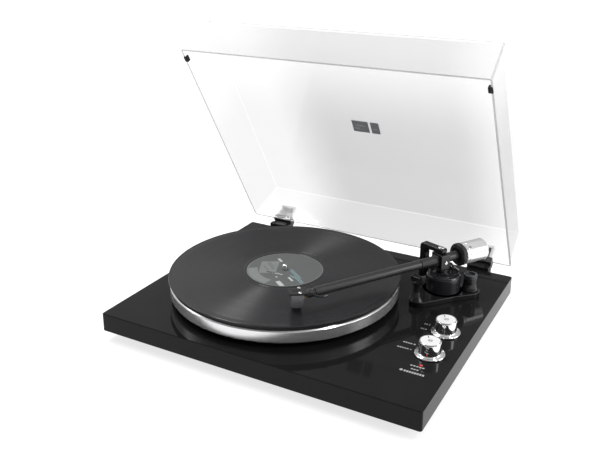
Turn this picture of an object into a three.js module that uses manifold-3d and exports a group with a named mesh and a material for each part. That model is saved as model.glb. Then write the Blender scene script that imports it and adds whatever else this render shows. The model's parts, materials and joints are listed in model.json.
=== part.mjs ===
import * as THREE from 'three';
import { mergeVertices } from 'three/addons/utils/BufferGeometryUtils.js';
import Module from 'manifold-3d';

// Belt-drive record player with a hinged clear cover. Millimetres, +Z up.
// Everything is drawn in deck coordinates: x to the right, y to the back and
// z = 0 on top of the plinth. The last step moves it onto the part's own frame.

// Driving dimensions
const plinthWidth = 420;
const plinthDepth = 350;
const slabHeight = 24;
const footHeight = 12;
const recordRadius = 151;
const platterRadius = 149.5;
const platterTop = 22;
const armHeight = 47;
const overhang = 12;
const restGroove = 106.5;
const tubeRadius = 5.75;
const weightRadius = 14.5;
const coverHeight = 67;
const coverWall = 2.5;
const openAngle = 58.9;
const fitGap = 0.3;

// Positions on the deck that follow from the driving dimensions
const spindleX = 166.5 - plinthWidth / 2;
const spindleY = plinthDepth / 2 - 183;
const pivotX = plinthWidth / 2 - 73;
const pivotY = plinthDepth / 2 - 92;
const turretX = pivotX + 5.5;
const turretY = pivotY - 1.5;
const deckThickness = 4;
const wallThickness = 10;
const deckUnder = -deckThickness;
const slabBottom = -slabHeight;

const wasm = await Module();
wasm.setup();

function radians(degrees) {
  return degrees * Math.PI / 180;
}

// Turns a closed three.js geometry into a solid that can be joined and cut.
function solid(geometry) {
  const bare = geometry.clone();
  bare.deleteAttribute('normal');
  bare.deleteAttribute('uv');
  const merged = mergeVertices(bare, 1e-4);
  const index = merged.index.array;
  const faces = [];
  for (let i = 0; i < index.length; i += 3) {
    const [a, b, c] = [index[i], index[i + 1], index[i + 2]];
    if (a !== b && b !== c && a !== c) {
      faces.push(a, b, c);
    }
  }
  return new wasm.Manifold(new wasm.Mesh({
    numProp: 3,
    vertProperties: new Float32Array(merged.attributes.position.array),
    triVerts: new Uint32Array(faces),
  }));
}

function box(x0, x1, y0, y1, z0, z1) {
  const geometry = new THREE.BoxGeometry(x1 - x0, y1 - y0, z1 - z0);
  geometry.translate((x0 + x1) / 2, (y0 + y1) / 2, (z0 + z1) / 2);
  return solid(geometry);
}

// Body of revolution about a vertical axis; the profile is a list of [r, z].
function turned(profile, x, y, segments = 28) {
  const points = profile.map(([r, z]) => new THREE.Vector2(r, z));
  const geometry = new THREE.LatheGeometry(points, segments);
  geometry.rotateX(Math.PI / 2);
  geometry.translate(x, y, 0);
  return solid(geometry);
}

function disc(radius, x, y, z0, z1, segments = 20) {
  return turned([[0, z0], [radius, z0], [radius, z1], [0, z1]], x, y, segments);
}

// Disc whose top edge is broken by a small chamfer.
function cap(radius, chamfer, x, y, z0, z1, segments = 28) {
  const profile = [[0, z0], [radius, z0], [radius, z1 - chamfer], [radius - chamfer, z1], [0, z1]];
  return turned(profile, x, y, segments);
}

// Round bar along x or y between two ends.
function barX(radius, x0, x1, y, z, segments = 24) {
  const geometry = new THREE.CylinderGeometry(radius, radius, x1 - x0, segments);
  geometry.rotateZ(-Math.PI / 2);
  geometry.translate((x0 + x1) / 2, y, z);
  return solid(geometry);
}

function barY(radius, x, y0, y1, z, segments = 24) {
  const geometry = new THREE.CylinderGeometry(radius, radius, y1 - y0, segments);
  geometry.translate(x, (y0 + y1) / 2, z);
  return solid(geometry);
}

// Flat outline raised between two heights, with a chamfer on its long edges.
function raised(shape, z0, z1, chamfer = 0, curveSegments = 8) {
  const options = { depth: z1 - z0 - 2 * chamfer, curveSegments, bevelEnabled: chamfer > 0 };
  options.bevelThickness = chamfer;
  options.bevelSize = chamfer;
  options.bevelOffset = -chamfer;
  options.bevelSegments = 1;
  const geometry = new THREE.ExtrudeGeometry(shape, options);
  geometry.translate(0, 0, z0 + chamfer);
  return solid(geometry);
}

function roundedRect(x0, x1, y0, y1, radius) {
  const shape = new THREE.Shape();
  shape.absarc(x1 - radius, y0 + radius, radius, -Math.PI / 2, 0, false);
  shape.absarc(x1 - radius, y1 - radius, radius, 0, Math.PI / 2, false);
  shape.absarc(x0 + radius, y1 - radius, radius, Math.PI / 2, Math.PI, false);
  shape.absarc(x0 + radius, y0 + radius, radius, Math.PI, 1.5 * Math.PI, false);
  return shape;
}

// Outline of a band drawn tight around two circles.
function aroundCircles(ax, ay, aRadius, bx, by, bRadius) {
  const heading = Math.atan2(by - ay, bx - ax);
  const spread = Math.acos((aRadius - bRadius) / Math.hypot(bx - ax, by - ay));
  const shape = new THREE.Shape();
  shape.absarc(ax, ay, aRadius, heading + spread, heading - spread + 2 * Math.PI, false);
  shape.absarc(bx, by, bRadius, heading - spread, heading + spread, false);
  return shape;
}

// Outline in the y-z plane carried along x.
function acrossX(points, x0, x1) {
  const shape = new THREE.Shape(points.map(([y, z]) => new THREE.Vector2(y, z)));
  const geometry = new THREE.ExtrudeGeometry(shape, { depth: x1 - x0, bevelEnabled: false });
  geometry.rotateY(Math.PI / 2);
  geometry.rotateX(Math.PI / 2);
  geometry.translate(x0, 0, 0);
  return solid(geometry);
}

// Outline carried along a curve.
function swept(shape, points, steps) {
  const curve = new THREE.CatmullRomCurve3(points.map((p) => new THREE.Vector3(...p)));
  const geometry = new THREE.ExtrudeGeometry(shape, {
    steps, bevelEnabled: false, extrudePath: curve, curveSegments: 6,
  });
  return solid(geometry);
}

function circle(radius) {
  const shape = new THREE.Shape();
  shape.absarc(0, 0, radius, 0, 2 * Math.PI, false);
  return shape;
}

// Skin stretched over level loops that all have the same number of corners.
function lofted(loops) {
  const count = loops[0].length;
  const positions = [];
  const faces = [];
  for (const loop of loops) {
    for (const point of loop) {
      positions.push(...point);
    }
  }
  for (let level = 0; level < loops.length - 1; level += 1) {
    for (let i = 0; i < count; i += 1) {
      const a = level * count + i;
      const b = level * count + (i + 1) % count;
      faces.push(a, b, b + count, a, b + count, a + count);
    }
  }
  const top = (loops.length - 1) * count;
  for (let i = 1; i < count - 1; i += 1) {
    faces.push(0, i + 1, i);
    faces.push(top, top + i, top + i + 1);
  }
  const geometry = new THREE.BufferGeometry();
  geometry.setAttribute('position', new THREE.Float32BufferAttribute(positions, 3));
  geometry.setIndex(faces);
  return solid(geometry);
}

function together(...bodies) {
  return bodies.reduce((sum, body) => sum.add(body));
}

function without(body, ...tools) {
  return tools.reduce((rest, tool) => rest.subtract(tool), body);
}

const group = new THREE.Group();

function addPart(name, body, colour, roughness = 0.5, metalness = 0) {
  const mesh = body.getMesh();
  const geometry = new THREE.BufferGeometry();
  geometry.setAttribute('position', new THREE.BufferAttribute(Float32Array.from(mesh.vertProperties), 3));
  geometry.setIndex(new THREE.BufferAttribute(Uint32Array.from(mesh.triVerts), 1));
  const material = new THREE.MeshStandardMaterial({ color: colour, roughness, metalness });
  const part = new THREE.Mesh(geometry, material);
  part.name = name;
  group.add(part);
}

const black = 0x17181a;
const deepBlack = 0x0d0d0e;
const rubber = 0x1c1c1c;
const silver = 0xc9cbcd;
const chrome = 0xdfe2e4;
const steel = 0x9da1a5;

// Plinth, closed below by a panel that stands on four feet
const panelThickness = 3;
const panelInset = wallThickness + fitGap;
const footRadius = 19;
const footInset = 50;
const motorReach = 112;
const motorHeading = radians(150);
const motorX = spindleX + motorReach * Math.cos(motorHeading);
const motorY = spindleY + motorReach * Math.sin(motorHeading);
const knobX = plinthWidth / 2 - 31;
const speedKnobY = spindleY - 6;
const functionKnobY = speedKnobY - 55;
const knobShaft = 3;
const lampX = knobX;
const lampY = functionKnobY - 26.7;
const lampRadius = 2;
const bearingRadius = 8.5;
const spindleRadius = 3.6;
const baseStem = 14;
const jackLeft = 20;
const jackRight = 110;
const jackLow = slabBottom + 5;
const jackHigh = -6;

function plinth() {
  const w = plinthWidth / 2;
  const d = plinthDepth / 2;
  const slab = raised(roundedRect(-w, w, -d, d, 3), slabBottom, 0, 0.8);
  const hollow = raised(
    roundedRect(wallThickness - w, w - wallThickness, wallThickness - d, d - wallThickness, 3),
    slabBottom - 1, deckUnder,
  );
  const holes = [
    disc(bearingRadius + fitGap, spindleX, spindleY, deckUnder - 1, 1),
    disc(5, motorX, motorY, deckUnder - 1, 1),
    disc(baseStem + fitGap, turretX, turretY, deckUnder - 1, 1),
    disc(knobShaft + fitGap, knobX, speedKnobY, deckUnder - 1, 1),
    disc(knobShaft + fitGap, knobX, functionKnobY, deckUnder - 1, 1),
    disc(lampRadius + fitGap, lampX, lampY, deckUnder - 1, 1, 20),
    box(jackLeft, jackRight, d - wallThickness - 1, d + 1, jackLow, jackHigh),
  ];
  return without(slab, hollow, ...holes);
}

const footSpots = [];
for (const [side, sx] of [['left', -1], ['right', 1]]) {
  for (const [end, sy] of [['front', -1], ['rear', 1]]) {
    const x = sx * (plinthWidth / 2 - footInset);
    const y = sy * (plinthDepth / 2 - footInset);
    footSpots.push({ name: `foot_${end}_${side}`, x, y });
  }
}
const footStem = 3.7;

function bottomPanel() {
  const w = plinthWidth / 2 - panelInset;
  const d = plinthDepth / 2 - panelInset;
  const sheet = raised(roundedRect(-w, w, -d, d, 3), slabBottom, slabBottom + panelThickness);
  const cuts = footSpots.map(
    ({ x, y }) => disc(footStem + fitGap, x, y, slabBottom - 1, slabBottom + panelThickness + 1, 20),
  );
  for (let i = 0; i < 6; i += 1) {
    const x = motorX - 35 + i * 14;
    cuts.push(box(x - 2.5, x + 2.5, motorY - 18, motorY + 18, slabBottom - 1, 0));
  }
  return without(sheet, ...cuts);
}

addPart('plinth', plinth(), black, 0.2);
addPart('bottom_panel', bottomPanel(), deepBlack, 0.8);
for (const { name, x, y } of footSpots) {
  const under = slabBottom - fitGap;
  const ground = slabBottom - footHeight;
  const stemTop = slabBottom + panelThickness + 3;
  const profile = [
    [0, ground], [footRadius - 3, ground], [footRadius - 1.5, ground + 2], [footRadius, under - 2],
    [footRadius - 2, under], [footStem, under], [footStem, stemTop], [0, stemTop],
  ];
  addPart(name, turned(profile, x, y, 24), rubber, 0.9);
}

// Platter, its bearing and what lies on it
const bearingFloor = slabBottom + panelThickness + 3;
const ballRadius = 3;
const hubRadius = 12;
const drumRadius = 80;
const drumWidth = 4;
const webBottom = platterTop - 6;
const rimBottom = 6;
const rimInner = platterRadius - 6.5;
const boreRadius = spindleRadius + fitGap;
const edgeBreak = 1.3;
const matBottom = platterTop + fitGap;
const matTop = matBottom + 4.3;
const recordBottom = matTop + fitGap;
const recordTop = recordBottom + 2.1;
const labelRadius = 50;
const spindleTop = recordTop + 7.4;

const housingProfile = [
  [0, bearingFloor - 2], [bearingRadius, bearingFloor - 2], [bearingRadius, deckUnder - 3],
  [22, deckUnder - 3], [22, deckUnder - fitGap], [bearingRadius, deckUnder - fitGap],
  [bearingRadius, 3], [boreRadius, 3], [boreRadius, bearingFloor], [0, bearingFloor],
];
addPart('bearing_housing', turned(housingProfile, spindleX, spindleY), steel, 0.4, 1);

const ballZ = bearingFloor + fitGap + ballRadius;
const ball = new THREE.SphereGeometry(ballRadius, 16, 10);
ball.translate(spindleX, spindleY, ballZ);
addPart('thrust_ball', solid(ball), chrome, 0.1, 1);

const platterProfile = [
  [boreRadius, 4], [hubRadius, 4], [hubRadius, webBottom], [drumRadius - drumWidth, webBottom],
  [drumRadius - drumWidth, 7], [drumRadius, 7], [drumRadius, webBottom], [rimInner, webBottom],
  [rimInner, rimBottom], [platterRadius - 0.8, rimBottom], [platterRadius, rimBottom + 0.8],
  [platterRadius, platterTop - edgeBreak], [platterRadius - edgeBreak, platterTop],
  [boreRadius, platterTop], [boreRadius, 4],
];
addPart('platter', turned(platterProfile, spindleX, spindleY, 54), silver, 0.3, 1);

function ringPlate(inner, outer, z0, z1, chamfer, segments) {
  const profile = [
    [inner, z0], [outer - chamfer, z0], [outer, z0 + chamfer], [outer, z1 - chamfer],
    [outer - chamfer, z1], [inner, z1], [inner, z0],
  ];
  return turned(profile, spindleX, spindleY, segments);
}

const recess = 0.5;
const labelSeat = labelRadius + fitGap;
const recordProfile = [
  [boreRadius, recordBottom], [recordRadius - 0.6, recordBottom], [recordRadius, recordBottom + 0.6],
  [recordRadius, recordTop - 0.6], [recordRadius - 0.6, recordTop], [recordRadius - 3, recordTop],
  [recordRadius - 5, recordTop - 0.25], [labelSeat + 1, recordTop - 0.25], [labelSeat, recordTop - recess],
  [boreRadius, recordTop - recess], [boreRadius, recordBottom],
];
addPart('slip_mat', ringPlate(boreRadius, recordRadius - 4, matBottom, matTop, 0.4, 40), rubber, 0.9);
addPart('record', turned(recordProfile, spindleX, spindleY, 54), deepBlack, 0.25);
const labelBottom = recordTop - recess + 0.15;
const labelTop = labelBottom + 0.3;
addPart('record_label', ringPlate(boreRadius, labelRadius, labelBottom, labelTop, 0.05, 36), 0xa9b3a6, 0.7);
const spindleFoot = ballZ + ballRadius + fitGap;
const spindleProfile = [
  [0, spindleFoot], [spindleRadius, spindleFoot], [spindleRadius, spindleTop - 3],
  [spindleRadius * 0.85, spindleTop - 1.2], [spindleRadius * 0.5, spindleTop - 0.3], [0, spindleTop],
];
addPart('spindle', turned(spindleProfile, spindleX, spindleY, 24), chrome, 0.15, 1);

// Motor, pulley and belt
const canRadius = 14;
const canTop = deckUnder - 3;
const shaftRadius = 1.5;
const pulleyRadius = 6;
const pulleyTop = webBottom - 0.8;
const beltLow = 9.5;
const beltHigh = pulleyTop - 2.2;
const beltThickness = 0.6;
const motorCan = without(
  cap(canRadius, 1, motorX, motorY, slabBottom + panelThickness + 0.8, canTop),
  disc(shaftRadius + fitGap, motorX, motorY, canTop - 6, canTop + 1, 16),
);
addPart('motor_can', motorCan, steel, 0.45, 1);
const bracket = raised(
  roundedRect(motorX - 24, motorX + 24, motorY - 13, motorY + 13, 4),
  canTop + fitGap, deckUnder - fitGap,
);
addPart('motor_bracket', without(bracket, disc(4, motorX, motorY, canTop, deckUnder, 20)), steel, 0.5, 1);
const pulleyProfile = [
  [0, canTop - 5], [shaftRadius, canTop - 5], [shaftRadius, 7], [8, 7], [8, 8],
  [pulleyRadius, 8.8], [pulleyRadius, pulleyTop - 1.4], [8, pulleyTop - 0.8], [8, pulleyTop], [0, pulleyTop],
];
addPart('motor_pulley', turned(pulleyProfile, motorX, motorY, 28), 0xb89b5a, 0.3, 1);
function beltBody(offset, z0, z1) {
  const outline = aroundCircles(
    spindleX, spindleY, drumRadius + offset, motorX, motorY, pulleyRadius + offset,
  );
  return raised(outline, z0, z1, 0, 18);
}
const belt = without(
  beltBody(fitGap + beltThickness, beltLow, beltHigh),
  beltBody(fitGap, beltLow - 1, beltHigh + 1),
);
addPart('drive_belt', belt, rubber, 0.9);

// Electronics under the right side of the deck
const boardTop = -15;
const switchTop = deckUnder - fitGap;
const switchSize = 7;
const board = box(knobX - 28, knobX + 12, lampY - 12, speedKnobY + 24, boardTop - 1.6, boardTop);
addPart('circuit_board', board, 0x1f5a35, 0.6);
for (const [name, y] of [['speed_switch', speedKnobY], ['function_switch', functionKnobY]]) {
  const body = box(
    knobX - switchSize, knobX + switchSize, y - switchSize, y + switchSize, boardTop + fitGap, switchTop,
  );
  addPart(name, without(body, disc(knobShaft + fitGap, knobX, y, -10, 0, 20)), 0x2b3a55, 0.6);
}
const lampProfile = [
  [0, boardTop + fitGap], [lampRadius + 1, boardTop + fitGap], [lampRadius + 1, switchTop],
  [lampRadius, switchTop], [lampRadius, 0.2], [lampRadius * 0.6, 0.9], [0, 1.1],
];
addPart('power_lamp', turned(lampProfile, lampX, lampY, 20), 0xc22a2a, 0.2);

// Rear sockets
const plateBack = plinthDepth / 2 - 2;
const plateFront = plateBack - 3;
const socketZ = (jackLow + jackHigh) / 2;
const socketSpots = [
  { name: 'phono_jack_left', x: jackLeft + 16, radius: 4.2, bore: 2.2, reach: 11, colour: 0xe6e6e6 },
  { name: 'phono_jack_right', x: jackLeft + 32, radius: 4.2, bore: 2.2, reach: 11, colour: 0xb52020 },
  { name: 'ground_post', x: jackLeft + 50, radius: 4.5, bore: 0, reach: 7, colour: 0xd0d0d0 },
  { name: 'power_inlet', x: jackLeft + 72, radius: 5.5, bore: 3, reach: 1.5, colour: 0x202020 },
];
const neckRadius = 3.2;
let jackPlate = box(
  jackLeft + fitGap, jackRight - fitGap, plateFront, plateBack, jackLow + fitGap, jackHigh - fitGap,
);
for (const { name, x, radius, bore, reach, colour } of socketSpots) {
  jackPlate = without(jackPlate, barY(neckRadius + fitGap, x, plateFront - 1, plateBack + 1, socketZ, 20));
  const tail = barY(neckRadius, x, plateFront - 6, plateBack + 1, socketZ, 20);
  const nose = barY(radius, x, plateBack + fitGap, plateBack + fitGap + reach, socketZ, 24);
  let body = together(tail, nose);
  if (bore > 0) {
    body = without(body, barY(bore, x, plateFront, plateBack + reach + 1, socketZ, 16));
  }
  addPart(name, body, colour, 0.4);
}
addPart('jack_plate', jackPlate, deepBlack, 0.7);

// Knobs
for (const [name, y] of [['speed_knob', speedKnobY], ['function_knob', functionKnobY]]) {
  const profile = [
    [0, switchTop - 5], [knobShaft, switchTop - 5], [knobShaft, 0.5], [17.5, 0.5], [17.5, 1.8],
    [16.6, 2.6], [13.6, 3.2], [12.9, 16.8], [11.8, 18], [0, 18],
  ];
  addPart(name, turned(profile, knobX, y, 28), chrome, 0.12, 1);
}

// Tonearm base, turret and the bridge over the pivot
const baseTop = 7;
const baseBottom = fitGap;
const turretRadius = 22;
const turretTop = armHeight - 17;
const restX = pivotX - 13;
const restY = pivotY - 50;
const postX = pivotX + 37;
const postY = pivotY + 12;
const legReach = 27;
const legX = pivotX - legReach;
const bridgeTurn = -20;
const pivotBore = 3.3;
const liftReach = 14;

function lobe(x, y, radius) {
  const outline = aroundCircles(turretX, turretY, turretRadius + 4, x, y, radius);
  return raised(outline, baseBottom, baseTop, 0.8, 5);
}

// Headings of the arm, worked out from the pivot, the overhang and the groove being played
const mountX = spindleX - pivotX;
const mountY = spindleY - pivotY;
const mountReach = Math.hypot(mountX, mountY);
const armReach = mountReach + overhang;
const grooveCosine = (mountReach ** 2 + armReach ** 2 - restGroove ** 2) / (2 * mountReach * armReach);
const stylusHeading = Math.atan2(mountY, mountX) + Math.acos(grooveCosine);
const tubeLead = radians(2);
const tubeHeading = stylusHeading + tubeLead;
const liftX = pivotX + liftReach * Math.cos(tubeHeading);
const liftY = pivotY + liftReach * Math.sin(tubeHeading);

const baseStemBody = disc(baseStem, turretX, turretY, deckUnder - 8, baseBottom + 1);
const baseNut = disc(baseStem + 5, turretX, turretY, deckUnder - 8, deckUnder - fitGap);
const legLobe = lobe(
  pivotX - legReach * Math.cos(radians(bridgeTurn)), pivotY - legReach * Math.sin(radians(bridgeTurn)), 9,
);
const armBase = together(
  lobe(restX + 1, restY + 6, 12), lobe(postX, postY, 13), legLobe, baseStemBody, baseNut,
);
addPart('arm_base', armBase, black, 0.3);
const turret = without(
  turned([
    [0, baseTop + fitGap], [turretRadius, baseTop + fitGap], [turretRadius, turretTop - 1.5],
    [turretRadius - 1.5, turretTop], [0, turretTop],
  ], turretX, turretY, 48),
  disc(pivotBore, pivotX, pivotY, turretTop - 9, turretTop + 1, 20),
  disc(2.3, liftX, liftY, turretTop - 8, turretTop + 1, 16),
);
addPart('arm_turret', turret, black, 0.15);

const yokeTop = armHeight + tubeRadius + 3.15;
const bridgeTop = yokeTop + 6.6;
const bridgeBar = 5.9;
const legHalf = 4.5;
const bridgeY = pivotY;
const bridgeHalf = 5;
function bridge() {
  const left = legX - legHalf;
  const right = pivotX + 6;
  const foot = baseTop + fitGap;
  const shape = new THREE.Shape();
  shape.moveTo(left - 1.5, foot);
  shape.lineTo(legX + legHalf + 1.5, foot);
  shape.lineTo(legX + legHalf, foot + 8);
  shape.lineTo(legX + legHalf, bridgeTop - bridgeBar - 2);
  shape.lineTo(legX + legHalf + 2, bridgeTop - bridgeBar);
  shape.lineTo(right, bridgeTop - bridgeBar);
  shape.lineTo(right, bridgeTop - 1.5);
  shape.lineTo(right - 1.5, bridgeTop);
  shape.lineTo(left + 4, bridgeTop);
  shape.lineTo(left + 1, bridgeTop - 1.5);
  shape.lineTo(left, bridgeTop - 5);
  shape.lineTo(left, foot + 8);
  const geometry = new THREE.ExtrudeGeometry(shape, {
    depth: 2 * bridgeHalf - 2,
    bevelEnabled: true,
    bevelSize: 1,
    bevelThickness: 1,
    bevelOffset: -1,
    bevelSegments: 1,
  });
  geometry.rotateX(Math.PI / 2);
  geometry.translate(0, bridgeY + bridgeHalf - 1, 0);
  const swung = solid(geometry).translate([-pivotX, -pivotY, 0])
    .rotate([0, 0, bridgeTurn]).translate([pivotX, pivotY, 0]);
  return without(swung, disc(2.3, pivotX, pivotY, bridgeTop - bridgeBar - 1, bridgeTop + 1, 16));
}
addPart('arm_bridge', bridge(), black, 0.35);
const bridgeScrew = together(
  disc(2, pivotX, pivotY, yokeTop + fitGap, bridgeTop + 0.5, 16),
  cap(4, 0.5, pivotX, pivotY, bridgeTop + fitGap, bridgeTop + 1.5, 24),
);
addPart('bridge_screw', bridgeScrew, chrome, 0.2, 1);

// Anti-skating post with its dial
const dialSeat = 24;
const postProfile = [
  [0, baseTop + fitGap], [10.4, baseTop + fitGap], [9.4, 12], [8.5, 17], [8.5, dialSeat], [2, dialSeat],
  [2, 27.5], [0, 27.5],
];
addPart('anti_skate_post', turned(postProfile, postX, postY, 32), black, 0.3);
const dialProfile = [
  [2.3, dialSeat + fitGap], [8.7, dialSeat + fitGap], [8.7, 28.7], [7.9, 29.5], [6, 29.5], [5.4, 27.2],
  [2.3, 27.2], [2.3, dialSeat + fitGap],
];
addPart('anti_skate_dial', turned(dialProfile, postX, postY, 32), 0x50565a, 0.4);

// Places a body drawn about the pivot, with x forward along the arm tube, on the deck.
function alongArm(body) {
  return body.rotate([0, 0, tubeHeading * 180 / Math.PI]).translate([pivotX, pivotY, 0]);
}

// Arm rest at the parked heading: saddle with a stop on the outer side
const restHeading = Math.atan2(restY - pivotY, restX - pivotX);
const saddleTop = armHeight - tubeRadius - 0.6;
const saddle = together(
  box(-4, 4, -7, 10.5, saddleTop - 7, saddleTop),
  box(-4, 4, 7.5, 10.5, saddleTop - 1, armHeight - 3),
).rotate([0, 0, restHeading * 180 / Math.PI]).translate([restX, restY, 0]);
const restProfile = [
  [0, baseTop + fitGap], [9, baseTop + fitGap], [6, 12], [4.4, 20], [4.6, 27], [6.4, saddleTop - 6],
  [0, saddleTop - 6],
];
addPart('arm_rest', together(turned(restProfile, restX, restY, 24), saddle), black, 0.35);

// Cue lift: rod, curved bar under the tube and the lever beside the pivot
const collarRadius = tubeRadius + 0.55;
const liftTop = armHeight - collarRadius - 0.5;
const liftBar = 2.4;
function liftRest() {
  const spread = radians(25);
  const outline = new THREE.Shape();
  outline.absarc(0, 0, liftReach + 4, -spread, spread, false);
  outline.absarc(0, 0, liftReach + 0.5, spread, -spread, true);
  const curved = raised(outline, liftTop - liftBar, liftTop, 0, 10);
  const rod = disc(2, liftReach, 0, turretTop - 5, liftTop, 16);
  return alongArm(together(curved, rod));
}
addPart('lift_rest', liftRest(), black, 0.4);
const leverX = turretX + 3;
const leverY = turretY + 14.5;
const leverZ = turretTop + 4.4;
const bracketTop = together(
  box(leverX - 3, leverX + 3, leverY + 1.2, leverY + 4, turretTop + fitGap, leverZ),
  barY(3, leverX, leverY + 1.2, leverY + 4, leverZ, 20),
  barY(1.2, leverX, leverY - 2.6, leverY + 2, leverZ, 14),
);
addPart('lever_bracket', bracketTop, black, 0.3);
const leverEye = barY(2.8, leverX, leverY - 2.8, leverY + 0.8, leverZ, 20);
const leverRod = swept(circle(1.1), [
  [leverX + 1.5, leverY - 1, leverZ + 0.3], [leverX + 6, leverY - 1.2, leverZ + 0.2],
  [leverX + 9.5, leverY - 2, leverZ - 1.2], [leverX + 14, leverY - 3.5, leverZ - 2.6],
], 14);
const lever = without(together(leverEye, leverRod), barY(1.5, leverX, leverY - 4, leverY + 3, leverZ, 16));
addPart('cue_lever', lever, chrome, 0.2, 1);

// Gimbal: an upright frame that turns on the deck and carries the arm on two side screws
const gimbalZ = armHeight - 2;
const frameInner = tubeRadius + 1.75;
const frameOuter = frameInner + 2.8;
const frameBottom = turretTop + 4.3;
const screwHole = 1.5;
const screwPin = 1.2;
const yoke = without(
  together(
    box(-7, 7, -frameOuter, frameOuter, frameBottom, yokeTop),
    disc(5, 0, 0, turretTop + fitGap, frameBottom + 1, 24),
    disc(pivotBore - fitGap, 0, 0, turretTop - 8, frameBottom, 20),
  ),
  box(-8, 8, -frameInner, frameInner, frameBottom + 3.7, yokeTop - 1.7),
  barY(screwHole, 0, -frameOuter - 1, frameOuter + 1, gimbalZ, 16),
);
addPart('gimbal_yoke', alongArm(yoke), black, 0.35);
const coreHalf = frameInner - 0.7;
const screwTip = coreHalf - 2;
for (const [name, side] of [['pivot_screw_near', 1], ['pivot_screw_far', -1]]) {
  const ends = (a, b) => (side > 0 ? [a, b] : [-b, -a]);
  const [pin0, pin1] = ends(screwTip, frameOuter + 1);
  const [head0, head1] = ends(frameOuter + fitGap, frameOuter + 1.8);
  const screw = together(barY(screwPin, 0, pin0, pin1, gimbalZ, 16), barY(2.8, 0, head0, head1, gimbalZ, 20));
  addPart(name, alongArm(screw), chrome, 0.2, 1);
}

// Arm core, tube and counterweight
const collarStart = 10;
const collarEnd = 34;
const stubEnd = -26;
const shaftEnd = -66;
const shaftR = 4;
const core = without(
  together(
    barX(collarRadius, collarStart, collarEnd, 0, armHeight, 32),
    barX(tubeRadius - 0.6, 0, collarStart + 1, 0, armHeight, 24),
    box(
      -7.5, collarStart + 0.5, -coreHalf, coreHalf,
      armHeight - tubeRadius + 0.15, armHeight + tubeRadius - 0.15,
    ),
    barX(tubeRadius + 0.45, stubEnd, -7, 0, armHeight, 32),
    barX(shaftR, shaftEnd, stubEnd + 1, 0, armHeight, 24),
  ),
  barY(screwHole, 0, screwTip - 0.4, coreHalf + 1, gimbalZ, 16),
  barY(screwHole, 0, -coreHalf - 1, 0.4 - screwTip, gimbalZ, 16),
);
addPart('arm_core', alongArm(core), black, 0.4);

const stylusForward = armReach * Math.cos(tubeLead);
const stylusSide = -armReach * Math.sin(tubeLead);
const bend = stylusForward - 17;
const tubeEnd = bend - 7;
addPart('arm_tube', alongArm(barX(tubeRadius, collarEnd + fitGap, tubeEnd, 0, armHeight, 40)), black, 0.3);

const dialFront = stubEnd - fitGap;
const dialBack = dialFront - 6.7;
const weightFront = dialBack - fitGap;
const weightLength = 36;
// Body of revolution about the tube; the profile is a list of [r, distance behind the pivot].
function behindPivot(profile, segments) {
  const points = profile.map(([r, along]) => new THREE.Vector2(r, along));
  const geometry = new THREE.LatheGeometry(points, segments);
  geometry.rotateZ(-Math.PI / 2);
  geometry.rotateX(Math.PI / 2);
  geometry.translate(0, 0, armHeight);
  return alongArm(solid(geometry));
}
const shaftBore = shaftR + fitGap;
const dialR = weightRadius + 0.5;
addPart('force_dial', behindPivot([
  [shaftBore, dialBack], [dialR - 0.6, dialBack], [dialR, dialBack + 0.6], [dialR, dialFront - 1],
  [dialR - 1, dialFront], [9, dialFront], [8, dialFront - 1.2], [shaftBore, dialFront - 1.2],
  [shaftBore, dialBack],
], 36), deepBlack, 0.5);
const weightBack = weightFront - weightLength;
addPart('counterweight', behindPivot([
  [shaftBore, weightBack], [weightRadius - 1, weightBack], [weightRadius, weightBack + 1],
  [weightRadius, weightFront - 1], [weightRadius - 1, weightFront], [shaftBore, weightFront],
  [shaftBore, weightBack],
], 36), silver, 0.3, 1);

// Headshell, cartridge and stylus, drawn about the stylus with x forward
const headTurn = Math.atan2(stylusSide, stylusForward - bend);
const bendBack = -Math.hypot(stylusSide, stylusForward - bend);
function atHead(body) {
  return alongArm(body.rotate([0, 0, headTurn * 180 / Math.PI]).translate([stylusForward, stylusSide, 0]));
}
const shellTop = armHeight + 4;
const shellBottom = shellTop - 2.5;
const cartridgeTop = shellBottom - fitGap;
const cartridgeBottom = recordTop + 3;
const neckRadiusHead = tubeRadius - 0.55;
const neck = alongArm(barX(neckRadiusHead, tubeEnd + fitGap, bend, 0, armHeight, 20));
const knuckle = new THREE.SphereGeometry(neckRadiusHead, 16, 10);
knuckle.translate(bendBack, 0, armHeight);
const shellPlate = raised(roundedRect(bendBack - 1, 5, -8.3, 8.3, 3.5), shellBottom, shellTop, 0.5);
const shellRear = box(bendBack - 3, bendBack + 4.2, -5, 5, armHeight - 3.5, shellTop - 0.6);
addPart('headshell', together(neck, atHead(together(solid(knuckle), shellPlate, shellRear))), black, 0.35);

const cartridgeRear = bendBack + neckRadiusHead + 0.8;
function cartridge() {
  const upper = box(cartridgeRear, 2.7, -7, 7, cartridgeTop - 6, cartridgeTop);
  const lower = lofted([
    [[cartridgeRear + 3, -6, cartridgeBottom], [2.7, -6, cartridgeBottom], [2.7, 6, cartridgeBottom],
      [cartridgeRear + 3, 6, cartridgeBottom]],
    [[cartridgeRear, -7, cartridgeTop - 5.5], [2.7, -7, cartridgeTop - 5.5], [2.7, 7, cartridgeTop - 5.5],
      [cartridgeRear, 7, cartridgeTop - 5.5]],
  ]);
  return together(upper, lower);
}
addPart('cartridge', atHead(cartridge()), 0x8f9194, 0.4, 0.6);
const tipHeight = recordTop + fitGap;
const holderTop = cartridgeBottom - fitGap;
const stylusTip = new THREE.ConeGeometry(0.6, 1.2, 12);
stylusTip.rotateX(-Math.PI / 2);
stylusTip.translate(0, 0, tipHeight + 0.6);
const stylusHolder = together(
  box(cartridgeRear + 4, -2, -3.2, 3.2, holderTop - 1.4, holderTop),
  box(-2.5, 0.5, -0.45, 0.45, tipHeight + 0.8, tipHeight + 1.5),
  solid(stylusTip),
);
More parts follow.
